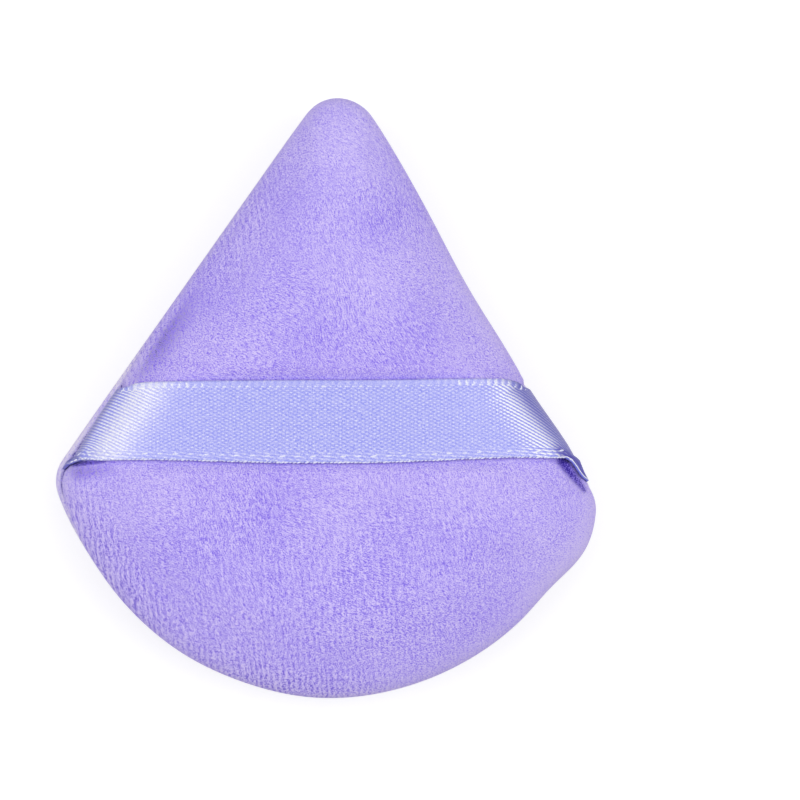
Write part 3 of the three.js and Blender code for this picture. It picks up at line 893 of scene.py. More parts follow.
# %% [markdown]
# A grid that wraps the fan
#
# A face that is built as rings round a middle point has thin triangles there, and they shade badly.
# A square grid has none, so the covers are a square grid that is wrapped over the fan: each square
# ring of the grid becomes one ring of the fan. The rings are spaced evenly along the stuffed profile,
# so the steep edge has as many cells as the flat face.

# %% Wrapped grid
FINE_CELLS = 256
COARSE_CELLS = 64
PROFILE_POINTS = 4000
FRONT = 1
BACK = -1
crown_top = {FRONT: pressed_crown, BACK: back_crown + BACK_FLAT}


def face_height(shares, top):
    """Height of the stuffed face above the seam: a superellipse from the rim to a crown."""
    arch = np.sqrt(np.clip(1 - shares**CROWN_POWER, 0, None))
    return rim_height + (top - rim_height) * arch


def even_shares(rings, side):
    """Outward shares of rings, 0 to 1, that are evenly spaced along the face's profile."""
    fine = np.sin(np.linspace(0, math.pi / 2, PROFILE_POINTS))
    profile = np.column_stack((fine * crown_radius, face_height(fine, crown_top[side])))
    length = lengths_along(profile)
    return np.interp(rings * length[-1], length, fine)


class Grid:
    """A square grid: ring and turn of each point, its faces, and the order of its rim."""

    def __init__(self, cells):
        line = np.linspace(-1, 1, cells + 1)
        u, v = np.meshgrid(line, line, indexing="ij")
        self.rings = np.maximum(abs(u), abs(v))
        whole = np.where(self.rings > 0, self.rings, 1)
        u, v = u / whole, v / whole
        # The way round starts in the middle of the top side, and each side is two eighths of it.
        cases = [(v >= 1) & (u <= 0), u <= -1, v <= -1, u >= 1]
        self.turns = np.select(cases, [-u, 2 - v, 4 + u, 6 + v], 8 - u) / 8
        count = np.arange((cells + 1) ** 2).reshape(cells + 1, cells + 1)
        corners = (count[:-1, :-1], count[1:, :-1], count[1:, 1:], count[:-1, 1:])
        self.faces = np.stack(corners, -1).reshape(-1, 4)
        edge = count[self.rings >= 1]
        self.rim = edge[np.argsort(self.turns.ravel()[edge], kind="stable")]
        self.rim_turns = self.turns.ravel()[self.rim]


fine_grid = Grid(FINE_CELLS)
coarse_grid = Grid(COARSE_CELLS)
print("fine grid", len(fine_grid.faces), "cells, rim of", len(fine_grid.rim))

# %% Stuffed form on a grid
FOOT_SOFTNESS = 0.25  # how gently the flat foot turns into the rounded edge


def pressed_foot(height):
    """Heights of the back that the floor presses flat, with a soft turn at the edge of the foot."""
    over = (height - back_crown) / FOOT_SOFTNESS
    return height - FOOT_SOFTNESS * np.logaddexp(0, over)


def stuffed_form(grid, rim, side, depth=0.0):
    """Points of a cover's face, or of its inner wall at a depth, with heights above the seam."""
    shares = even_shares(grid.rings, side)
    points, normals = rim.at(grid.turns)
    plan = crown_centre + shares[..., None] * (points - depth * normals - crown_centre)
    low = allowance_top if depth else rim_height
    top = crown_top[side]
    arch = (face_height(shares, top) - rim_height) / (top - rim_height)
    height = low + (top - depth - low) * arch
    return np.concatenate((plan, height[..., None]), -1)


print("crown", round(float(stuffed_form(coarse_grid, front_rim, FRONT)[..., 2].max()), 2), "mm")

# %% [markdown]
# Stuffing by cloth simulation
#
# The foam pushes the velour out from inside, and the seam holds it back. That is what a cloth under
# pressure does, so each cover is swollen by Blender's cloth: a coarse grid that starts a little flat,
# with its rim pinned, under pressure and without gravity. It is simulated ten times as large, because
# the cloth's default springs suit things of that size. How far a point may move is capped, so that
# the face beside the ribbon ends at the solid's crown, the small dents that are left are evened
# out, and a smooth finer grid is read from it.

# %% Cloth swell
SWELL_SCALE = 10
SWELL_PRESSURE = 4.0
SWELL_FRAMES = 20
SWELL_CAP = CHANNEL_DEPTH
SWELL_START = 0.94  # share of the form's height that the cloth starts from
SWELL_ROUNDS = 10  # of evening out the small dents that the cloth is left with


def evened(values):
    """A grid of values whose small dents are evened out, apart from its border."""
    for _ in range(SWELL_ROUNDS):
        beside = values[:-2, 1:-1] + values[2:, 1:-1] + values[1:-1, :-2] + values[1:-1, 2:]
        values[1:-1, 1:-1] = (values[1:-1, 1:-1] + beside / 4) / 2
    return values


def swell(name, form):
    """How far each point of a form moves when its cloth is swollen, in millimetres."""
    start = form.copy()
    start[..., 2] = rim_height + (form[..., 2] - rim_height) * SWELL_START
    mesh = bpy.data.meshes.new(name)
    points = start.reshape(-1, 3) * MM * SWELL_SCALE
    mesh.from_pydata(points.tolist(), [], coarse_grid.faces.tolist())
    cloth_piece = bpy.data.objects.new(name, mesh)
    scene.collection.objects.link(cloth_piece)
    pinned = cloth_piece.vertex_groups.new(name="sewn_rim")
    pinned.add(coarse_grid.rim.tolist(), 1.0, "REPLACE")
    cloth = cloth_piece.modifiers.new("swell", "CLOTH")
    cloth.settings.vertex_group_mass = pinned.name
    cloth.settings.use_pressure = True
    cloth.settings.uniform_pressure_force = SWELL_PRESSURE
    cloth.settings.effector_weights.gravity = 0
    cloth.point_cache.frame_end = SWELL_FRAMES
    for step in range(1, SWELL_FRAMES + 1):
        scene.frame_set(step)
    swollen = cloth_piece.evaluated_get(bpy.context.evaluated_depsgraph_get())
    result = np.zeros(points.size, np.float32)
    swollen.data.vertices.foreach_get("co", result)
    scene.frame_set(1)
    bpy.data.objects.remove(cloth_piece)
    bpy.data.meshes.remove(mesh)
    moved = result.reshape(form.shape) / (MM * SWELL_SCALE) - form
    reach = np.linalg.norm(moved, axis=-1, keepdims=True)
    print(f"{name}: swollen by up to {reach.max():.2f} mm before the cap")
    moved = moved * np.minimum(1, SWELL_CAP / np.maximum(reach, SWELL_CAP))
    return evened(moved)


def refined(coarse, factor):
    """A coarse grid of values read on a finer grid, smoothed by cubic weights."""
    count = len(coarse)
    places = np.arange((count - 1) * factor + 1) / factor
    base = np.minimum(places.astype(int), count - 2)
    t = places - base
    weights = (1 - t) ** 3, 3 * t**3 - 6 * t**2 + 4, 1 + 3 * t + 3 * t**2 - 3 * t**3, t**3
    rows = np.zeros((len(places), count))
    for step, weight in zip((-1, 0, 1, 2), weights):
        np.add.at(rows, (np.arange(len(places)), np.clip(base + step, 0, count - 1)), weight / 6)
    return np.tensordot(rows, np.tensordot(rows, coarse, (1, 1)), (1, 1))


front_swell = swell("front_swell", stuffed_form(coarse_grid, front_rim, FRONT))
back_swell = swell("back_swell", stuffed_form(coarse_grid, back_rim, BACK))

# %% [markdown]
# Ribbon lines
#
# The ribbon is laid over the pad as a tape is: parallel lines start across its middle and run
# straight on over the curved face, always turning only with the surface, down to the rim. There
# each line follows the fold of the front cover into the seam. Laid this way, the cloth neither
# stretches nor wrinkles, so its weave can be counted in millimetres.

# %% Face that the ribbon lies on
LAY_STEP = 0.25
LAY_PROBE = 0.05
SETTLE_PASSES = 3


def front_field(places):
    """Zero on the pressed face that the ribbon lies on."""
    share = front_rim.outward_share(places[..., 0], places[..., 1])
    rise = (places[..., 2] - rim_height) / (pressed_crown - rim_height)
    return share**CROWN_POWER + rise**2 - 1


def front_slope(places):
    """Slope of the field, which points out of the face."""
    probes = np.eye(3) * LAY_PROBE
    return np.stack(
        [(front_field(places + p) - front_field(places - p)) / (2 * LAY_PROBE) for p in probes], -1
    )


def unit(vectors):
    return vectors / np.linalg.norm(vectors, axis=-1, keepdims=True)


def settled(places):
    """The same places, moved along the slope onto the pressed face."""
    for _ in range(SETTLE_PASSES):
        slope = front_slope(places)
        places = places - slope * (front_field(places) / (slope**2).sum(-1))[..., None]
    return places


ribbon_middle = np.array([0.0, RIBBON_MIDDLE_Y, pressed_crown])
middle_drop = (ribbon_middle - settled(ribbon_middle[None])[0])[2]
print(f"under the ribbon's middle the face is {middle_drop:.4f} mm below the crown")

# %% Laid lines
RIBBON_THICKNESS = 0.35
RIBBON_LINES = 41
RIBBON_COLUMNS = 121  # from the middle to one rim
LAY_STEPS = 190
RIBBON_LIFT = 0.1  # of its underside above the drawn face
RIM_STOP = 0.15  # above the rim, where the strap turns into its caught end
across_mm = np.linspace(0, RIBBON_WIDTH, RIBBON_LINES)


def laid_half(heading):
    """Lines from the ribbon's middle to the rim, evenly spaced, and the lengths along each one."""
    start = settled(ribbon_middle + (across_mm - RIBBON_WIDTH / 2)[:, None] * ribbon_across)
    place, ahead = start, np.tile(heading, (RIBBON_LINES, 1))
    steps = [start]
    for _ in range(LAY_STEPS):
        normal = unit(front_slope(place))
        ahead = unit(ahead - normal * (ahead * normal).sum(-1, keepdims=True))
        place = settled(place + ahead * LAY_STEP)
        steps.append(place)
    lines, lengths = [], []
    for line in np.swapaxes(steps, 0, 1):
        length = lengths_along(line)
        below = np.argmax(line[:, 2] < rim_height + RIM_STOP)
        drop = line[below - 1, 2] - line[below, 2]
        part = (line[below - 1, 2] - rim_height - RIM_STOP) / drop
        end = length[below - 1] + part * (length[below] - length[below - 1])
        wanted = np.linspace(0, end, RIBBON_COLUMNS)
        lines.append(read_line(wanted, length, line))
        lengths.append(wanted)
    return np.array(lines), np.array(lengths)


left_half, left_lengths = laid_half(-ribbon_along)
right_half, right_lengths = laid_half(ribbon_along)
print(f"ribbon reaches {left_lengths.max():.1f} mm to the left, {right_lengths.max():.1f} to the right")

# %% [markdown]
# Velour covers
#
# A cover is more than its face. At the seam it turns inwards round a fold, lies flat as the seam
# allowance, ends in a raw cut edge, and comes back as the inner wall under the face. So each cover
# here is one closed shell of cloth. Both folds meet in a thin groove, and part only where the ribbon
# goes in. Under the ribbon the face is pressed in, and beside it the pad stays full. The pile's lumps
# are moved along the normals at the end.

# %% Where the ribbon goes into the seam
PRESS_DEPTH = 0.15  # of the face under the ribbon, below the drawn form
PRESS_INSIDE = 0.4  # where the pressed part starts to rise, inside the ribbon's edge
PRESS_OUTSIDE = 1.6  # where the pad is full, beyond it
GROOVE = 0.04  # half the gap of the seam
RIBBON_GROOVE = 0.3  # half the gap where the ribbon goes in
GROOVE_SPAN = (0.3, 2.5)  # from the ribbon's end, where the wide gap starts and ends to close


def groove_height(plan):
    """Height of the fold's lowest line above the seam, larger where the ribbon goes in."""
    wide = np.zeros(len(plan))
    for ends in (left_half[:, -1, :2], right_half[:, -1, :2]):
        away = np.linalg.norm(plan[:, None] - ends[None], axis=-1).min(1)
        wide = np.maximum(wide, 1 - smooth(*GROOVE_SPAN, away))
    return GROOVE + (RIBBON_GROOVE - GROOVE) * wide


print("gap of the seam", 2 * GROOVE, "mm, and", 2 * RIBBON_GROOVE, "mm where the ribbon goes in")

# %% Creases and pile lumps
PILE_RELIEF = 0.05
LUMP_SHIFT = 9  # from the noise of one kind of lump to the next
# Each kind of lump: width, length, heading in degrees, and weight.
PILE_LUMPS = ((0.6, 1.3, -50, 1.0), (1.3, 0.8, 20, 0.7), (5.0, 4.0, 60, 1.2))
# Each crease: where it starts, where it ends, its width and depth in mm, and how dark its painted shade
# is.
CREASES = [
    ((-31.1, -9.4), (-27.4, -8.9), 0.4, 0.15, 0.9),
    ((-30.6, -10.3), (-26.5, -9.9), 1.4, 0.2, 0.4),
    ((28.75, -6.8), (31.7, -10.3), 0.7, 0.55, 1.3),
    ((-21.1, 7.3), (-20.9, 2.8), 0.25, 0.12, 0.3),
    ((-11.7, 16.2), (-11.5, 12.8), 0.25, 0.1, 0.2),
    ((-5.9, 14.2), (-5.8, 11.5), 0.25, 0.1, 0.2),
]
CREASE_TAPER = 0.4  # how much narrower and fainter a crease is at its end


def creases(plan):
    """How deep the strongest crease is at each point, and how dark its painted shade is."""
    depth, dark = np.zeros((2, len(plan)))
    for start, end, width, deepest, darkest in CREASES:
        run = np.subtract(end, start)
        share = np.clip((plan - start) @ run / (run @ run), 0, 1)
        away = np.linalg.norm(plan - start - share[:, None] * run, axis=1)
        left = 1 - CREASE_TAPER * share
        profile = left * np.exp(-((away / (width * left)) ** 2))
        depth = np.maximum(depth, deepest * profile)
        dark = np.maximum(dark, darkest * profile)
    return depth, dark


def pile_lumps(points):
    """Relief of the pile: soft lumps of several sizes, drawn out along different headings."""
    relief = np.zeros(len(points))
    for seed, (width, length, heading, weight) in enumerate(PILE_LUMPS):
        turn = math.radians(heading)
        along = points[:, 0] * math.cos(turn) + points[:, 1] * math.sin(turn)
        beside = points[:, 1] * math.cos(turn) - points[:, 0] * math.sin(turn)
        height = points[:, 2] / width + LUMP_SHIFT * seed
        places = np.column_stack((along / length, beside / width, height))
        relief += weight * np.array([noise.noise(place) for place in places.tolist()])
    return PILE_RELIEF * relief


def grid_normals(points):
    """Normals of a grid of points, outwards for a front face."""
    return unit(np.cross(np.gradient(points, axis=0), np.gradient(points, axis=1)))


print(len(CREASES), "creases, the deepest", max(crease[3] for crease in CREASES), "mm")

# %% Faces of a cover
RIM_HOLD = 12  # the higher it is, the closer to the rim the seam holds the cloth
refine_by = FINE_CELLS // COARSE_CELLS


def free_share(grid):
    """1 on the face of a cover, falling to 0 where the seam holds it."""
    return 1 - grid.rings[..., None] ** RIM_HOLD


def cover_face(rim, side, moved):
    """Points of a cover's outer face: swollen, pressed under the ribbon, and with its pile."""
    face = stuffed_form(fine_grid, rim, side)
    normals = grid_normals(face)
    free = free_share(fine_grid)
    pressed = under_ribbon(face[..., :2], PRESS_INSIDE, PRESS_OUTSIDE)[..., None] * (side == FRONT)
    face = face + refined(moved, refine_by) * free * (1 - pressed) - PRESS_DEPTH * pressed * normals
    face = face.reshape(-1, 3)
    relief = pile_lumps(face)
    if side == FRONT:
        relief = relief - creases(face[:, :2])[0]
    face += normals.reshape(-1, 3) * (relief * free.ravel())[:, None]
    if side == BACK:
        face[:, 2] = pressed_foot(face[:, 2])
    return face


def cover_lining(rim, side, moved):
    """Points of the inner wall under a cover's face, on the coarse grid."""
    inner = stuffed_form(coarse_grid, rim, side, VELOUR_THICKNESS)
    inner = inner + moved * free_share(coarse_grid)
    if side == FRONT:
        inner[..., 2] -= PRESS_DEPTH * under_ribbon(inner[..., :2], PRESS_INSIDE, PRESS_OUTSIDE)
    else:
        inner[..., 2] = pressed_foot(inner[..., 2] + VELOUR_THICKNESS) - VELOUR_THICKNESS
    return inner.reshape(-1, 3)


print(refine_by, "cells of the face along each cell of the inner wall")

# %% Shell of a cover
FOLD_STEPS = 8
ALLOWANCE_START = 1.9  # from the outline to where the allowance lies flat, in seam depths


def bridge(upper, lower):
    """Faces between two loops. The upper one may have several points to each of the lower one's."""
    ratio = len(upper) // len(lower)
    faces = []
    for k in range(len(lower)):
        after = (k + 1) % len(lower)
        span = [upper[(ratio * k + i) % len(upper)] for i in range(ratio, -1, -1)]
        faces.append([lower[k], lower[after], *span])
    return faces


def cover_shell(rim, side, moved):
    """Points with heights above the seam, faces, and how far out each point lies."""
    points = [cover_face(rim, side, moved)]
    edges = [even_shares(fine_grid.rings, side).ravel()]
    faces = fine_grid.faces.tolist()
    loops = [fine_grid.rim]

    def add_loop(plan, height, edge):
        height = np.broadcast_to(height, len(plan))
        loops.append(np.arange(len(plan)) + sum(map(len, points)))
        points.append(np.column_stack((plan, height)))
        edges.append(np.full(len(plan), edge))

    outer, outward = rim.at(fine_grid.rim_turns)
    groove = groove_height(outer)
    for step in range(1, FOLD_STEPS + 1):
        angle = step / FOLD_STEPS * math.pi / 2
        plan = outer - SEAM_DEPTH * (1 - math.cos(angle)) * outward
        add_loop(plan, rim_height - (rim_height - groove) * math.sin(angle), 1 + step / FOLD_STEPS)
    outer, outward = rim.at(coarse_grid.rim_turns)
    raw = crown_centre + (1 - RAW_EDGE / crown_radius) * (outer - crown_centre)
    add_loop(outer - ALLOWANCE_START * SEAM_DEPTH * outward, seam_gap / 2, 2)
    add_loop(raw, seam_gap / 2, 2)
    add_loop(raw, allowance_top, 2)
    inner = cover_lining(rim, side, moved)
    start = sum(map(len, points))
    loops.append(coarse_grid.rim + start)
    points.append(inner)
    edges.append(np.full(len(inner), 2.0))
    for upper, lower in zip(loops, loops[1:]):
        faces += bridge(upper.tolist(), lower.tolist())
    faces += (coarse_grid.faces[:, ::-1] + start).tolist()
    return np.vstack(points), faces, np.concatenate(edges)


print("the fold turns in through", FOLD_STEPS, "steps of", 90 / FOLD_STEPS, "degrees")

# %% Tones along the edge
# Each tone: a place, how far it spreads along the edge, how far in it reaches, and its strength.
# Pale edges: painted sheen and light on the bent rim, partly the paler pile tips there.
PALE_EDGE_SHEEN = [
    ((-26, 2), 5, 1.8, 0.8),
    ((-31, -7), 7, 1.5, 0.8),
    ((-14, 19), 14, 0.5, 0.4),
    ((-27, -24), 12, 3.0, 0.22),
    ((-8, -36), 14, 2.5, 0.2),
    ((31, -19), 11, 3.2, 0.85),
    ((18, -31), 12, 3.0, 0.5),
    ((6, -37), 14, 1.2, 0.5),
    ((18, 12), 14, 2.5, 0.45),
    ((0, 37), 10, 1.0, 0.4),
]
WALES = [
    ((-27, -24), 14, 6.0, 0.9),
    ((-5, -36), 14, 6.0, 0.9),
    ((-24, 4), 9, 5.0, 0.6),
    ((0, -26), 24, 60.0, 0.3),
    ((-12, 20), 11, 6.5, 0.45),
]
DEEP_EDGES = [((-20.5, 6.5), 8, 5.5, 0.45), ((-12, 20), 14, 2.2, 0.3)]
BACK_SHEEN = 0.45  # painted sheen on the back cover's rim, all round, over its paler pile tips
BACK_SHEEN_REACH = 2.2
DEEP_START = 1.2  # in from the rim, where the deep tones are full
# Where the pile was brushed: a place, how far it spreads, and how much paler or deeper it looks.
BRUSHED = [
    ((1, 31), 6, 0.2),
    ((5, 21), 3, -0.14),
    ((-7, 23), 3.5, -0.14),
    ((-16, 12), 5, -0.1),
    ((4, 13), 3.5, 0.12),
    ((11, 8), 4, -0.1),
    ((-11, 6.5), 4, 0.06),
    ((-19, -21), 6, -0.12),
    ((-19, -14), 3.5, 0.08),
    ((-7, -12), 5, -0.08),
    ((5, -26), 3, 0.1),
    ((18, -20), 6, -0.06),
    ((23, -10), 3.5, 0.08),
    ((0, -23), 10, -0.05),
    ((-28, -15), 5, 0.07),
    ((27, -17), 6, 0.08),
    ((19, 6), 5, 0.07),
    ((-21, -27), 5, -0.1),
]


def edge_tone(plan, inset, tones):
    """The strongest of several tones at each point. The inset is how far in from the rim it lies."""
    strongest = np.zeros(len(plan))
    for place, spread, reach, strength in tones:
        tone = strength * nearness(plan, place, spread) * smooth(reach, 0, inset)
        strongest = np.maximum(strongest, tone)
    return strongest


def brush_tone(plan):
    """The sum of the brushed patches at each point."""
    return sum(tone * nearness(plan, place, spread) for place, spread, tone in BRUSHED)


print(len(PALE_EDGE_SHEEN), "pale edges and", len(BRUSHED), "brushed patches")

# %% Front and back covers
CONTACT_SHADOW_WIDTH = 0.32  # of the painted contact shadow under the ribbon's lower edge, which also stands for a faint line pressed into the pile
CONTACT_SHADOW_DARK = 0.4
CONTACT_IN = 1.0  # how far it goes in under the ribbon
CONTACT_END = 0.96  # how far out on the face it ends
FOLD_SHADE = (1.45, 1.9)  # painted shade in the fold, which runs from 1 at the rim to 2 in the seam
FOLD_SHADE_DARK = 0.7


def new_piece(name, points, faces, finish):
    """A smooth mesh from points in millimetres."""
    mesh = bpy.data.meshes.new(name)
    mesh.from_pydata((np.asarray(points) * MM).tolist(), [], faces)
    mesh.materials.append(finish)
    mesh.polygons.foreach_set("use_smooth", np.ones(len(mesh.polygons), bool))
    mesh.update()
    piece = bpy.data.objects.new(name, mesh)
    scene.collection.objects.link(piece)
    return piece


def add_numbers(mesh, name, values):
    """A named number at each point, for a finish or a tree to read."""
    store = mesh.attributes.new(name, "FLOAT", "POINT")
    store.data.foreach_set("value", np.asarray(values, np.float32))


def velour_cover(name, rim, side, moved, finish):
    points, faces, edges = cover_shell(rim, side, moved)
    plan = points[:, :2]
    inset = crown_radius * np.clip(1 - edges, 0, 1)
    # Painted sheen and light along the rim, over the paler pile tips there.
    pale = edge_tone(plan, inset, PALE_EDGE_SHEEN)
    wale = edge_tone(plan, inset, WALES)
    deep = edge_tone(plan, inset, DEEP_EDGES) * smooth(0, DEEP_START, inset)
    # Painted shade down in the creases.
    deep = np.maximum(deep, creases(plan)[1])
    # Painted contact shadow along the ribbon's lower edge.
    below = below_ribbon(plan)
    contact_shadow = np.exp(-((np.maximum(below, 0) / CONTACT_SHADOW_WIDTH) ** 2)) * (below > -CONTACT_IN)
    deep = np.maximum(deep, CONTACT_SHADOW_DARK * contact_shadow * (edges < CONTACT_END))
    brushed = brush_tone(plan)
    if side == BACK:
        faces = [face[::-1] for face in faces]
        pale = np.maximum(pale, BACK_SHEEN * smooth(BACK_SHEEN_REACH, 0, inset))
        deep *= 0
        brushed *= 0
    # Painted shade in the fold that runs into the seam.
    deep = np.maximum(deep, FOLD_SHADE_DARK * smooth(*FOLD_SHADE, edges))
    points[:, 2] = seam_z + side * points[:, 2]
    piece = new_piece(name, points, faces, finish)
    tones = {"pale": pale, "wale": wale, "deep": deep, "brushed": brushed}
    for tone_name, values in tones.items():
        add_numbers(piece.data, tone_name, values)
    print(name, len(piece.data.polygons), "faces")
    return piece


front_cover = velour_cover("front_cover", front_rim, FRONT, front_swell, front_finish)
back_cover = velour_cover("back_cover", back_rim, BACK, back_swell, back_finish)

# %% [markdown]
# Ribbon
#
# The strap and both caught ends are one length of cloth, so they are one closed strip here, from the
# raw end inside the left seam to the one inside the right seam. Near the rim its edges are drawn in
# and moved a little along the seam, as the sewing caught them. Its top and underside are the lines
# moved apart by the ribbon's thickness.

# %% Ribbon near the rim
LEFT_DRIFT = 0.4  # of the lower edge along the rim, towards the corner
RIGHT_DRIFT = 2.5
LEFT_TURN = (2.3, 0.3)  # from the rim to where the lower edge starts and ends to move along it
RIGHT_TURN = (3.4, 1.4)
LEFT_FALL = 0.35  # of the upper edge along the rim, towards the corner
RIGHT_FALL = 0.9
FALL_SPAN = (5.5, 0)  # from the rim to where the upper edge starts and ends to fall
LEFT_HOLD = 0.8  # how far the lower edge is held back, so that it stays straight up to the rim
RIGHT_HOLD = 0.55
HOLD_SPAN = (8, 1.5)  # from the rim to where that starts and where it is full
LEFT_STAND = 0  # of the lower edge above the pad near the rim
RIGHT_STAND = 0.12
STAND_START = (9, 3)  # from the rim to where the edge starts and ends to rise
STAND_END = (0, 2)  # from the rim to where it lies down again and where it still stands
LOOSE_WIDTH = 3.5  # how far from its edges the ribbon is loose


def level_outward(places):
    """Level directions out of the face at places on the rim."""
    return unit(front_slope(places) * [1, 1, 0])


def loosened(half, lengths, draw, drift, turn, fall, hold, stand):
    """One half of the laid lines, with its edges drawn in and moved along the rim."""
    drawn = np.interp(across_mm, [0, RIBBON_WIDTH], draw)[:, None] * smooth(*DRAW_SPAN, lengths)
    lower = smooth(LOOSE_WIDTH, 0, across_mm)[:, None, None]
    upper = smooth(RIBBON_WIDTH - LOOSE_WIDTH, RIBBON_WIDTH, across_mm)[:, None, None]
    to_rim = (lengths[:, -1:] - lengths)[..., None]
    outward = level_outward(half[:, -1])
    along_rim = np.cross(outward, [0, 0, 1]) * np.sign(outward[:, :1])
    moved = half + drawn[..., None] * ribbon_across
    slide = lower * (drift * smooth(*turn, to_rim) - hold * smooth(*HOLD_SPAN, to_rim))
    slide = slide + fall * upper * smooth(*FALL_SPAN, to_rim)
    moved = settled(moved + slide * along_rim[:, None])
    lift = stand * lower * smooth(*STAND_START, to_rim) * smooth(*STAND_END, to_rim)
    return moved + lift * [0, 0, 1]


left_way = (LEFT_DRAW, LEFT_DRIFT, LEFT_TURN, LEFT_FALL, LEFT_HOLD, LEFT_STAND)
right_way = (RIGHT_DRAW, RIGHT_DRIFT, RIGHT_TURN, RIGHT_FALL, RIGHT_HOLD, RIGHT_STAND)
left_loose = loosened(left_half, left_lengths, *left_way)
right_loose = loosened(right_half, right_lengths, *right_way)
edge_moves = np.linalg.norm(right_loose - right_half, axis=-1)
print(f"the right half is moved by up to {edge_moves.max():.1f} mm")

# %% Ribbon strip
TAIL_STEPS = 8
RIBBON_TAIL = 4.2  # from the outline in to the ribbon's cut end


def caught_end(half):
    """Points and normals of one end, from the rim round the fold into the seam."""
    rims = half[:, -1]
    outward = level_outward(rims)
    bend = SEAM_DEPTH + RIBBON_LIFT + RIBBON_THICKNESS / 2
    places, normals = [], []
    for step in range(1, TAIL_STEPS + 1):
        angle = step / TAIL_STEPS * math.pi / 2
        inset = SEAM_DEPTH - bend * math.cos(angle)
        place = rims - inset * outward
        place[:, 2] = rim_height * (1 - math.sin(angle))
        places.append(place)
        normals.append(outward * math.cos(angle) - [0, 0, math.sin(angle)])
    cut_end = rims - RIBBON_TAIL * outward
    cut_end[:, 2] = 0
    places.append(cut_end)
    normals.append(normals[-1])
    return np.swapaxes(places, 0, 1), np.swapaxes(normals, 0, 1)


def ribbon_half(half, lengths):
    """Middle of the cloth, its normals, and lengths along it, from the ribbon's middle outwards."""
    normals = unit(front_slope(half))
    places = half + normals * (RIBBON_LIFT + RIBBON_THICKNESS / 2)
    end_places, end_normals = caught_end(half)
    places = np.concatenate((places, end_places), 1)
    normals = np.concatenate((normals, end_normals), 1)
    steps = np.linalg.norm(np.diff(places[:, lengths.shape[1] - 1 :], axis=1), axis=-1)
    lengths = np.concatenate((lengths, lengths[:, -1:] + np.cumsum(steps, 1)), 1)
    return places, normals, lengths


def whole_ribbon():
    """Both halves joined: the cloth's middle, its normals, and lengths from the ribbon's middle."""
    left_places, left_normals, left_runs = ribbon_half(left_loose, left_lengths)
    right_places, right_normals, right_runs = ribbon_half(right_loose, right_lengths)
    places = np.concatenate((left_places[:, :0:-1], right_places), 1)
    normals = np.concatenate((left_normals[:, :0:-1], right_normals), 1)
    return places, normals, np.concatenate((-left_runs[:, :0:-1], right_runs), 1)


ribbon_places, ribbon_normals, ribbon_lengths = whole_ribbon()

# %% Ribbon mesh


def strip_piece(name, places, normals, thickness, finish):
    """A closed strip of cloth through a grid of points on its middle."""
    rows, columns = places.shape[:2]
    top = places + normals * thickness / 2
    under = places - normals * thickness / 2
    count = np.arange(rows * columns).reshape(rows, columns)
    below = count + rows * columns

    def quads(a, b, c, d):
        return np.stack((a, b, c, d), -1).reshape(-1, 4).tolist()

    faces = quads(count[:-1, :-1], count[:-1, 1:], count[1:, 1:], count[1:, :-1])
    faces += quads(below[:-1, :-1], below[1:, :-1], below[1:, 1:], below[:-1, 1:])
    faces += quads(count[0, 1:], count[0, :-1], below[0, :-1], below[0, 1:])
    faces += quads(count[-1, :-1], count[-1, 1:], below[-1, 1:], below[-1, :-1])
    faces += quads(count[:-1, 0], count[1:, 0], below[1:, 0], below[:-1, 0])
    faces += quads(count[1:, -1], count[:-1, -1], below[:-1, -1], below[1:, -1])
    return new_piece(name, np.concatenate((top.reshape(-1, 3), under.reshape(-1, 3))), faces, finish)


def above_floor(places):
    """The same places with heights above the floor."""
    return places + [0, 0, seam_z]


def add_cloth_map(piece, along, across):
    """A UV map that counts millimetres along and across the cloth."""
    values = np.column_stack((along, across))
    corners = np.zeros(len(piece.data.loops), np.int32)
    piece.data.loops.foreach_get("vertex_index", corners)
    layer = piece.data.uv_layers.new(name="cloth")
    layer.data.foreach_set("uv", values[corners].astype(np.float32).ravel())


ribbon = strip_piece(
    "ribbon", above_floor(ribbon_places), ribbon_normals, RIBBON_THICKNESS, satin_finish
)
across_all = np.repeat(across_mm[:, None], ribbon_lengths.shape[1], 1)
# The underside's edges count on round the thin sides of the cloth, so that the sides can be told.
across_under = across_all.copy()
across_under[0] -= RIBBON_THICKNESS
across_under[-1] += RIBBON_THICKNESS
across_both = np.concatenate((across_all.ravel(), across_under.ravel()))
add_cloth_map(ribbon, np.tile(ribbon_lengths.ravel(), 2), across_both)
# The lean is 0 where the cloth is level, and -1 or 1 where it is upright at the left or right end.
ribbon_lean = np.sqrt(np.clip(1 - ribbon_normals[..., 2] ** 2, 0, 1))
ribbon_lean *= np.sign(ribbon_lengths)
add_numbers(ribbon.data, "lean", np.tile(ribbon_lean.ravel(), 2))
print("ribbon", len(ribbon.data.polygons), "faces")

# %% [markdown]
# Selvedges
#
# At each edge of the ribbon the weft turns back round the outermost threads, which leaves a row of
# small bright loops. They all have one shape and differ only in place, which is what Geometry Nodes
# are for: points along the edge carry two directions, and a small bar is put on each point and turned
# to them. The tree ends with real geometry, because instances don't survive an export.

# %% Trees that make geometry


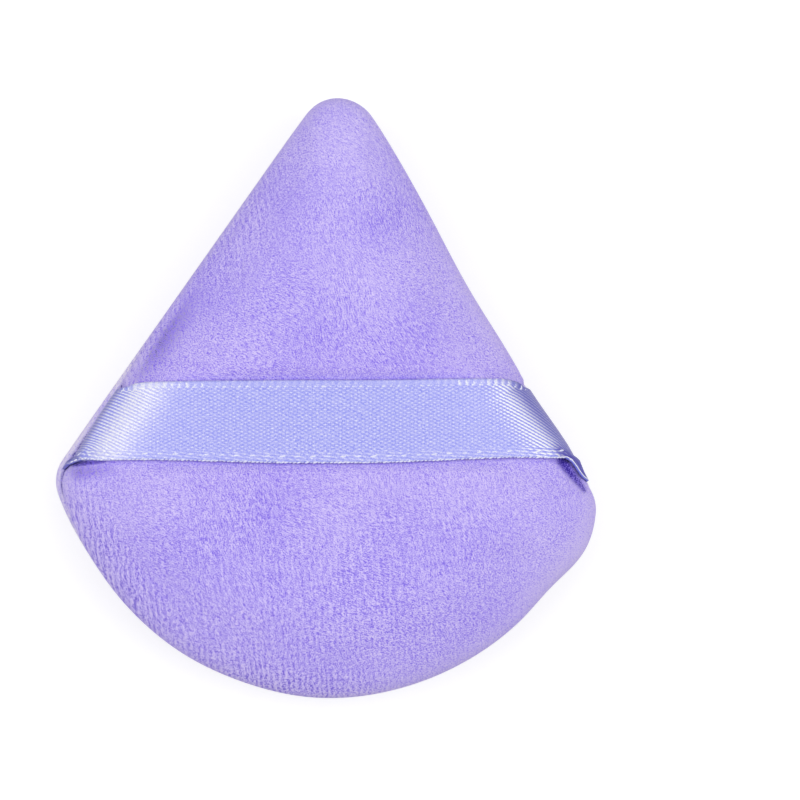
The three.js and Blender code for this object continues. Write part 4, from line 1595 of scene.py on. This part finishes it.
class Tree(Nodes):
    """A tree of Geometry Nodes, which turns the geometry that it is given into new geometry."""

    def __init__(self, name):
        super().__init__(bpy.data.node_groups.new(name, "GeometryNodeTree"))
        for way in ("INPUT", "OUTPUT"):
            self.tree.interface.new_socket("Geometry", in_out=way, socket_type="NodeSocketGeometry")
        self.inputs = self.tree.nodes.new("NodeGroupInput")
        self.result = self.tree.nodes.new("NodeGroupOutput")

    def given(self, name="Geometry"):
        """What the tree is given under a name."""
        return Wire(self, self.inputs.outputs[name])

    def size(self, name, value):
        """A named input of the tree, with the value that it starts from."""
        socket = self.tree.interface.new_socket(name, in_out="INPUT", socket_type="NodeSocketFloat")
        socket.default_value = value
        return self.given(name)

    def carried(self, name, kind):
        """A number or vector that the points carry under a name."""
        return self.add("GeometryNodeInputNamedAttribute", {"data_type": kind}, {"Name": name})

    def end(self, geometry, finish):
        """The last nodes of every tree: real geometry, smooth, with its finish."""
        real = self.add("GeometryNodeRealizeInstances", None, {"Geometry": geometry})
        smooth_shaded = self.add("GeometryNodeSetShadeSmooth", None, {"Geometry": real})
        values = {"Geometry": smooth_shaded, "Material": finish}
        self.plug(self.result.inputs["Geometry"], self.add("GeometryNodeSetMaterial", None, values))


print("a tree of geometry has", [name for name in vars(Tree) if not name.startswith("_")])

# %% Tree that puts loops on points
BALL_SIDES = {"Segments": 8, "Rings": 5, "Radius": 0.5}
SIZE_NAMES = ("Length", "Width", "Height")


def loop_tree(name, finish):
    """A rounded bar on each point: its long side lies along one direction, its top along another."""
    tree = Tree(name)
    length, width, height = (tree.size(n, MM) for n in SIZE_NAMES)
    ball = tree.add("GeometryNodeMeshUVSphere", None, BALL_SIDES)
    shape = tree.add("ShaderNodeCombineXYZ", None, {"X": length, "Y": width, "Z": height})
    bar = tree.add("GeometryNodeTransform", None, {"Geometry": ball, "Scale": shape})
    points = tree.add("GeometryNodeMeshToPoints", None, {"Mesh": tree.given()})
    up = tree.carried("up", "FLOAT_VECTOR")
    upright = tree.add("FunctionNodeAlignRotationToVector", {"axis": "Z"}, {"Vector": up})
    turned = tree.add(
        "FunctionNodeAlignRotationToVector",
        {"axis": "X", "pivot_axis": "Z"},
        {"Rotation": upright, "Vector": tree.carried("heading", "FLOAT_VECTOR")},
    )
    grow = tree.carried("grow", "FLOAT")
    bars = tree.add(
        "GeometryNodeInstanceOnPoints",
        None,
        {"Points": points, "Instance": bar, "Rotation": turned, "Scale": grow},
    )
    tree.end(bars, finish)
    return tree.tree


selvedge_tree = loop_tree("selvedge_loops", selvedge_finish)
print("tree", selvedge_tree.name, len(selvedge_tree.nodes), "nodes")

# %% Running a tree


def grown(name, tree, mesh, sizes):
    """Runs a tree on a mesh and keeps the result as a plain mesh."""
    carrier = bpy.data.objects.new(name + "_carrier", mesh)
    scene.collection.objects.link(carrier)
    modifier = carrier.modifiers.new("grow", "NODES")
    modifier.node_group = tree
    for socket in tree.interface.items_tree:
        if socket.in_out == "INPUT" and socket.name in sizes:
            modifier[socket.identifier] = sizes[socket.name]
    result = carrier.evaluated_get(bpy.context.evaluated_depsgraph_get())
    made = bpy.data.meshes.new_from_object(result)
    made.name = name
    bpy.data.objects.remove(carrier)
    piece = bpy.data.objects.new(name, made)
    scene.collection.objects.link(piece)
    return piece


tree_inputs = [item.name for item in selvedge_tree.interface.items_tree if item.in_out == "INPUT"]
print("inputs of the tree:", tree_inputs)

# %% Points along the ribbon
LOOP_MARGIN = 7.6  # from the ribbon's cut end to the first loop, which leaves the turned part bare
LOOP_SINK = 0.03  # how far the middle of a loop lies in the cloth
chance = np.random.default_rng(4)


def add_directions(mesh, name, vectors):
    """A named vector at each point, for a tree to read."""
    store = mesh.attributes.new(name, "FLOAT_VECTOR", "POINT")
    store.data.foreach_set("vector", np.asarray(vectors, np.float32).ravel())


def edge_points(name, row, pitch, slant, near, growth):
    """Points at a pitch along one line of the ribbon, with the directions and sizes of their loops."""
    surface = ribbon_places[row] + ribbon_normals[row] * (RIBBON_THICKNESS / 2 - LOOP_SINK)
    line = ribbon_lengths[row]
    wanted = np.arange(line[0] + LOOP_MARGIN, line[-1] - LOOP_MARGIN, pitch)
    wanted = wanted[abs(wanted) > near]
    up = unit(read_line(wanted, line, ribbon_normals[row]))
    along = unit(read_line(wanted, line, np.gradient(ribbon_places[row], axis=0)))
    heading = along * math.cos(slant) + np.cross(up, along) * math.sin(slant)
    mesh = bpy.data.meshes.new(name)
    mesh.from_pydata((above_floor(read_line(wanted, line, surface)) * MM).tolist(), [], [])
    add_directions(mesh, "up", up)
    add_directions(mesh, "heading", heading)
    add_numbers(mesh, "grow", chance.uniform(*growth, len(wanted)))
    return mesh


print(f"loops stay {LOOP_MARGIN} mm away from the ribbon's cut ends")

# %% Selvedge loops
UNEVEN = (0.45, 1.15)  # least and most that a bar grows by
EVEN = (0.85, 1.15)
# Each row: the ribbon's line that it lies on, pitch, slant in degrees, how far from the ribbon's
# middle it starts, what its bars grow by, and a bar's three sizes in mm.
SELVEDGE_ROWS = {
    "selvedge_upper": (RIBBON_LINES - 4, 0.92, 20, 0, UNEVEN, (0.42, 0.26, 0.14)),
    "selvedge_upper_ends": (RIBBON_LINES - 3, 0.92, 110, 15, UNEVEN, (0.85, 0.36, 0.16)),
    "selvedge_lower": (0, 0.5, 14, 0, UNEVEN, (0.6, 0.2, 0.24)),
    "selvedge_lower_floats": (3, 1.85, 8, 0, EVEN, (0.82, 0.22, 0.14)),
}
selvedges = []
for row_name, (row, pitch, slant, near, growth, sides) in SELVEDGE_ROWS.items():
    loop_points = edge_points(row_name, row, pitch, math.radians(slant), near, growth)
    sizes = dict(zip(SIZE_NAMES, (side * MM for side in sides)))
    selvedges.append(grown(row_name, selvedge_tree, loop_points, sizes))
    print(row_name, len(selvedges[-1].data.polygons), "faces")

# %% [markdown]
# Foam core
#
# The foam is a die-cut pad that fills the bag. Nothing of it shows, but without it the covers would be
# hollow, so it is made from the same form, set in by the thickness of the velour and cut off straight
# inside the seam allowances.

# %% Foam core
FOAM_CLEARANCE = 0.3
FOAM_GRAIN = 0.04
foam_top = {FRONT: full_crown, BACK: crown_top[BACK]}
flat_top = {FRONT: full_crown, BACK: back_crown}


def foam_core():
    depth = VELOUR_THICKNESS + FOAM_CLEARANCE
    edge_share = 1 - (RAW_EDGE + FOAM_CLEARANCE) / crown_radius
    halves = []
    for rim, side in ((front_rim, FRONT), (back_rim, BACK)):
        shares = coarse_grid.rings * edge_share
        points, normals = rim.at(coarse_grid.turns)
        plan = crown_centre + shares[..., None] * (points - depth * normals - crown_centre)
        height = np.minimum(face_height(shares, foam_top[side]), flat_top[side]) - depth - PRESS_DEPTH
        half = np.concatenate((plan, side * height[..., None]), -1).reshape(-1, 3)
        half[:, 2] += FOAM_GRAIN * np.array([noise.noise(p) for p in half.tolist()])
        halves.append(half)
    start = len(halves[0])
    faces = coarse_grid.faces.tolist()
    faces += bridge(coarse_grid.rim.tolist(), (coarse_grid.rim + start).tolist())
    faces += (coarse_grid.faces[:, ::-1] + start).tolist()
    return new_piece("foam_pad", above_floor(np.vstack(halves)), faces, foam_finish)


foam_pad = foam_core()
print("foam", len(foam_pad.data.polygons), "faces")

# %% [markdown]
# Sewing threads
#
# The seam is a lockstitch. The needle thread runs on the front allowance and dips into each hole, the
# bobbin thread runs on the back allowance and comes up, and they hook round each other in the middle.
# A third thread closes the gap that the foam went in by. A tree of Geometry Nodes follows each route:
# it rounds the corners and sweeps a two-ply section that twists along the way.

# %% Routes of the threads
THREAD_DIAMETER = 0.3
THREAD_CLEARANCE = 0.12
STITCH_LENGTH = 4.5
TURNING_GAP = 24.0
stitch_legs = THREAD_DIAMETER + THREAD_CLEARANCE
stitch_inset = SEAM_DEPTH + VELOUR_THICKNESS + stitch_legs
thread_run = allowance_top + THREAD_CLEARANCE + THREAD_DIAMETER / 2
thread_hook = stitch_legs / 2
stitch_line = evenly(drawn_outline - stitch_inset * outward_normals(drawn_outline), OUTLINE_POINTS)
stitch_line_length = lengths_along(stitch_line)[-1]


def stitch_sites(start, end):
    """Evenly spaced stitches between two lengths along the seam, from the middle of the bottom."""
    count = round((end - start) / STITCH_LENGTH)
    lengths = np.linspace(start, end, count + 1) / stitch_line_length + 0.5
    steps = np.linspace(0, 1, OUTLINE_POINTS + 1)
    places = read_line(lengths % 1, steps, stitch_line)
    return places, -read_line(lengths % 1, steps, outward_normals(stitch_line))


def thread_route(sites, corners):
    """Corner points of a thread: each site adds its own, as (along, inward, height)."""
    route = []
    for i, (place, inward) in enumerate(zip(*sites)):
        along = np.array([inward[1], -inward[0]])
        for step_along, step_inward, height in corners[i % len(corners)]:
            plan = place + along * step_along + inward * step_inward
            route.append((*plan, height))
    return above_floor(np.array(route))


sewn = stitch_sites(TURNING_GAP / 2, stitch_line_length - TURNING_GAP / 2)
closing_reach = TURNING_GAP / 2 - STITCH_LENGTH
closing = stitch_sites(-closing_reach, closing_reach)
needle_dip = [(-stitch_legs, 0, thread_run), (-stitch_legs, 0, -thread_hook)]
needle_dip += [(stitch_legs, 0, -thread_hook), (stitch_legs, 0, thread_run)]
bobbin_rise = [(0, -stitch_legs, -thread_run), (0, -stitch_legs, thread_hook)]
bobbin_rise += [(0, stitch_legs, thread_hook), (0, stitch_legs, -thread_run)]
closing_down = [(0, 0, thread_run), (0, 0, -thread_run)]
routes = {
    "needle_thread": thread_route(sewn, [needle_dip]),
    "bobbin_thread": thread_route(sewn, [bobbin_rise]),
    "gap_thread": thread_route(closing, [closing_down, closing_down[::-1]]),
}
print("stitches:", len(sewn[0]), "sewn,", len(closing[0]), "closing")

# %% Tree that twists a thread along its route
PLY_TWIST = 2200.0  # radians to the metre
PLY_OFFSET = 0.9  # of a ply's middle from the thread's, in radii of the ply
PLY_SIDES = 6
CORNER_POINTS = 2
THREAD_CORNER = 0.12
THREAD_STEP = 0.3


def thread_tree(finish):
    """A two-ply thread that is swept along a route with rounded corners."""
    tree = Tree("twisted_thread")
    ply, corner, step = (tree.size(n, MM / 10) for n in ("Ply radius", "Corner", "Step"))
    twist = tree.size("Twist", PLY_TWIST)
    route = tree.add("GeometryNodeMeshToCurve", None, {"Mesh": tree.given()})
    rounding = {"Curve": route, "Radius": corner, "Count": CORNER_POINTS}
    rounded = tree.add("GeometryNodeFilletCurve", {"mode": "POLY"}, rounding)
    spacing = {"Curve": rounded, "Length": step}
    even = tree.add("GeometryNodeResampleCurve", {"mode": "LENGTH"}, spacing)
    tilt = tree.add("GeometryNodeSplineParameter", out="Length") * twist
    twisted = tree.add("GeometryNodeSetCurveTilt", None, {"Curve": even, "Tilt": tilt})
    circle = {"Resolution": PLY_SIDES, "Radius": ply}
    ring = tree.add("GeometryNodeCurvePrimitiveCircle", None, circle, out="Curve")
    both = tree.add("GeometryNodeJoinGeometry")
    for offset in (PLY_OFFSET, -PLY_OFFSET):
        aside = tree.add("ShaderNodeCombineXYZ", None, {"X": ply * offset})
        one = tree.add("GeometryNodeTransform", None, {"Geometry": ring, "Translation": aside})
        tree.plug(both.socket.node.inputs["Geometry"], one)
    sweep = {"Curve": twisted, "Profile Curve": both, "Fill Caps": True}
    tree.end(tree.add("GeometryNodeCurveToMesh", None, sweep), finish)
    return tree.tree


twisted_thread = thread_tree(sewing_finish)
print("tree", twisted_thread.name, len(twisted_thread.nodes), "nodes")

# %% Threads
thread_sizes = {
    "Ply radius": THREAD_DIAMETER * MM / 4,
    "Corner": THREAD_CORNER * MM,
    "Step": THREAD_STEP * MM,
    "Twist": PLY_TWIST,
}
threads = {}
for thread_name, route in routes.items():
    route_mesh = bpy.data.meshes.new(thread_name + "_route")
    links = [(i, i + 1) for i in range(len(route) - 1)]
    route_mesh.from_pydata((route * MM).tolist(), links, [])
    threads[thread_name] = grown(thread_name, twisted_thread, route_mesh, thread_sizes)
    print(thread_name, len(threads[thread_name].data.polygons), "faces")

# %% [markdown]
# Joining the frame
#
# The covers, the foam and the threads are tied to the pad, a body of the packed model, so that they
# move with it. The ribbon and its selvedges keep their places baked into their points, and the
# solids that they stand for are hidden.

# %% Pieces on their bodies
for piece, node, slot_name in (
    (front_cover, "front_velour", "velour"),
    (back_cover, "back_velour", "velour"),
    (foam_pad, "foam_core", "foam"),
    (threads["needle_thread"], "seam_needle_thread", "thread"),
    (threads["bobbin_thread"], "seam_bobbin_thread", "thread"),
    (threads["gap_thread"], "closing_thread", "thread"),
):
    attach(piece, "pad")
    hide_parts(node)

lift_start = (0, 0, (seam_z + rim_height) * MM)
for piece in (ribbon, *selvedges):
    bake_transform(piece)
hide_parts("ribbon_strap", "ribbon_end_left", "ribbon_end_right")
print(1 + len(selvedges), "pieces bow with the strap")
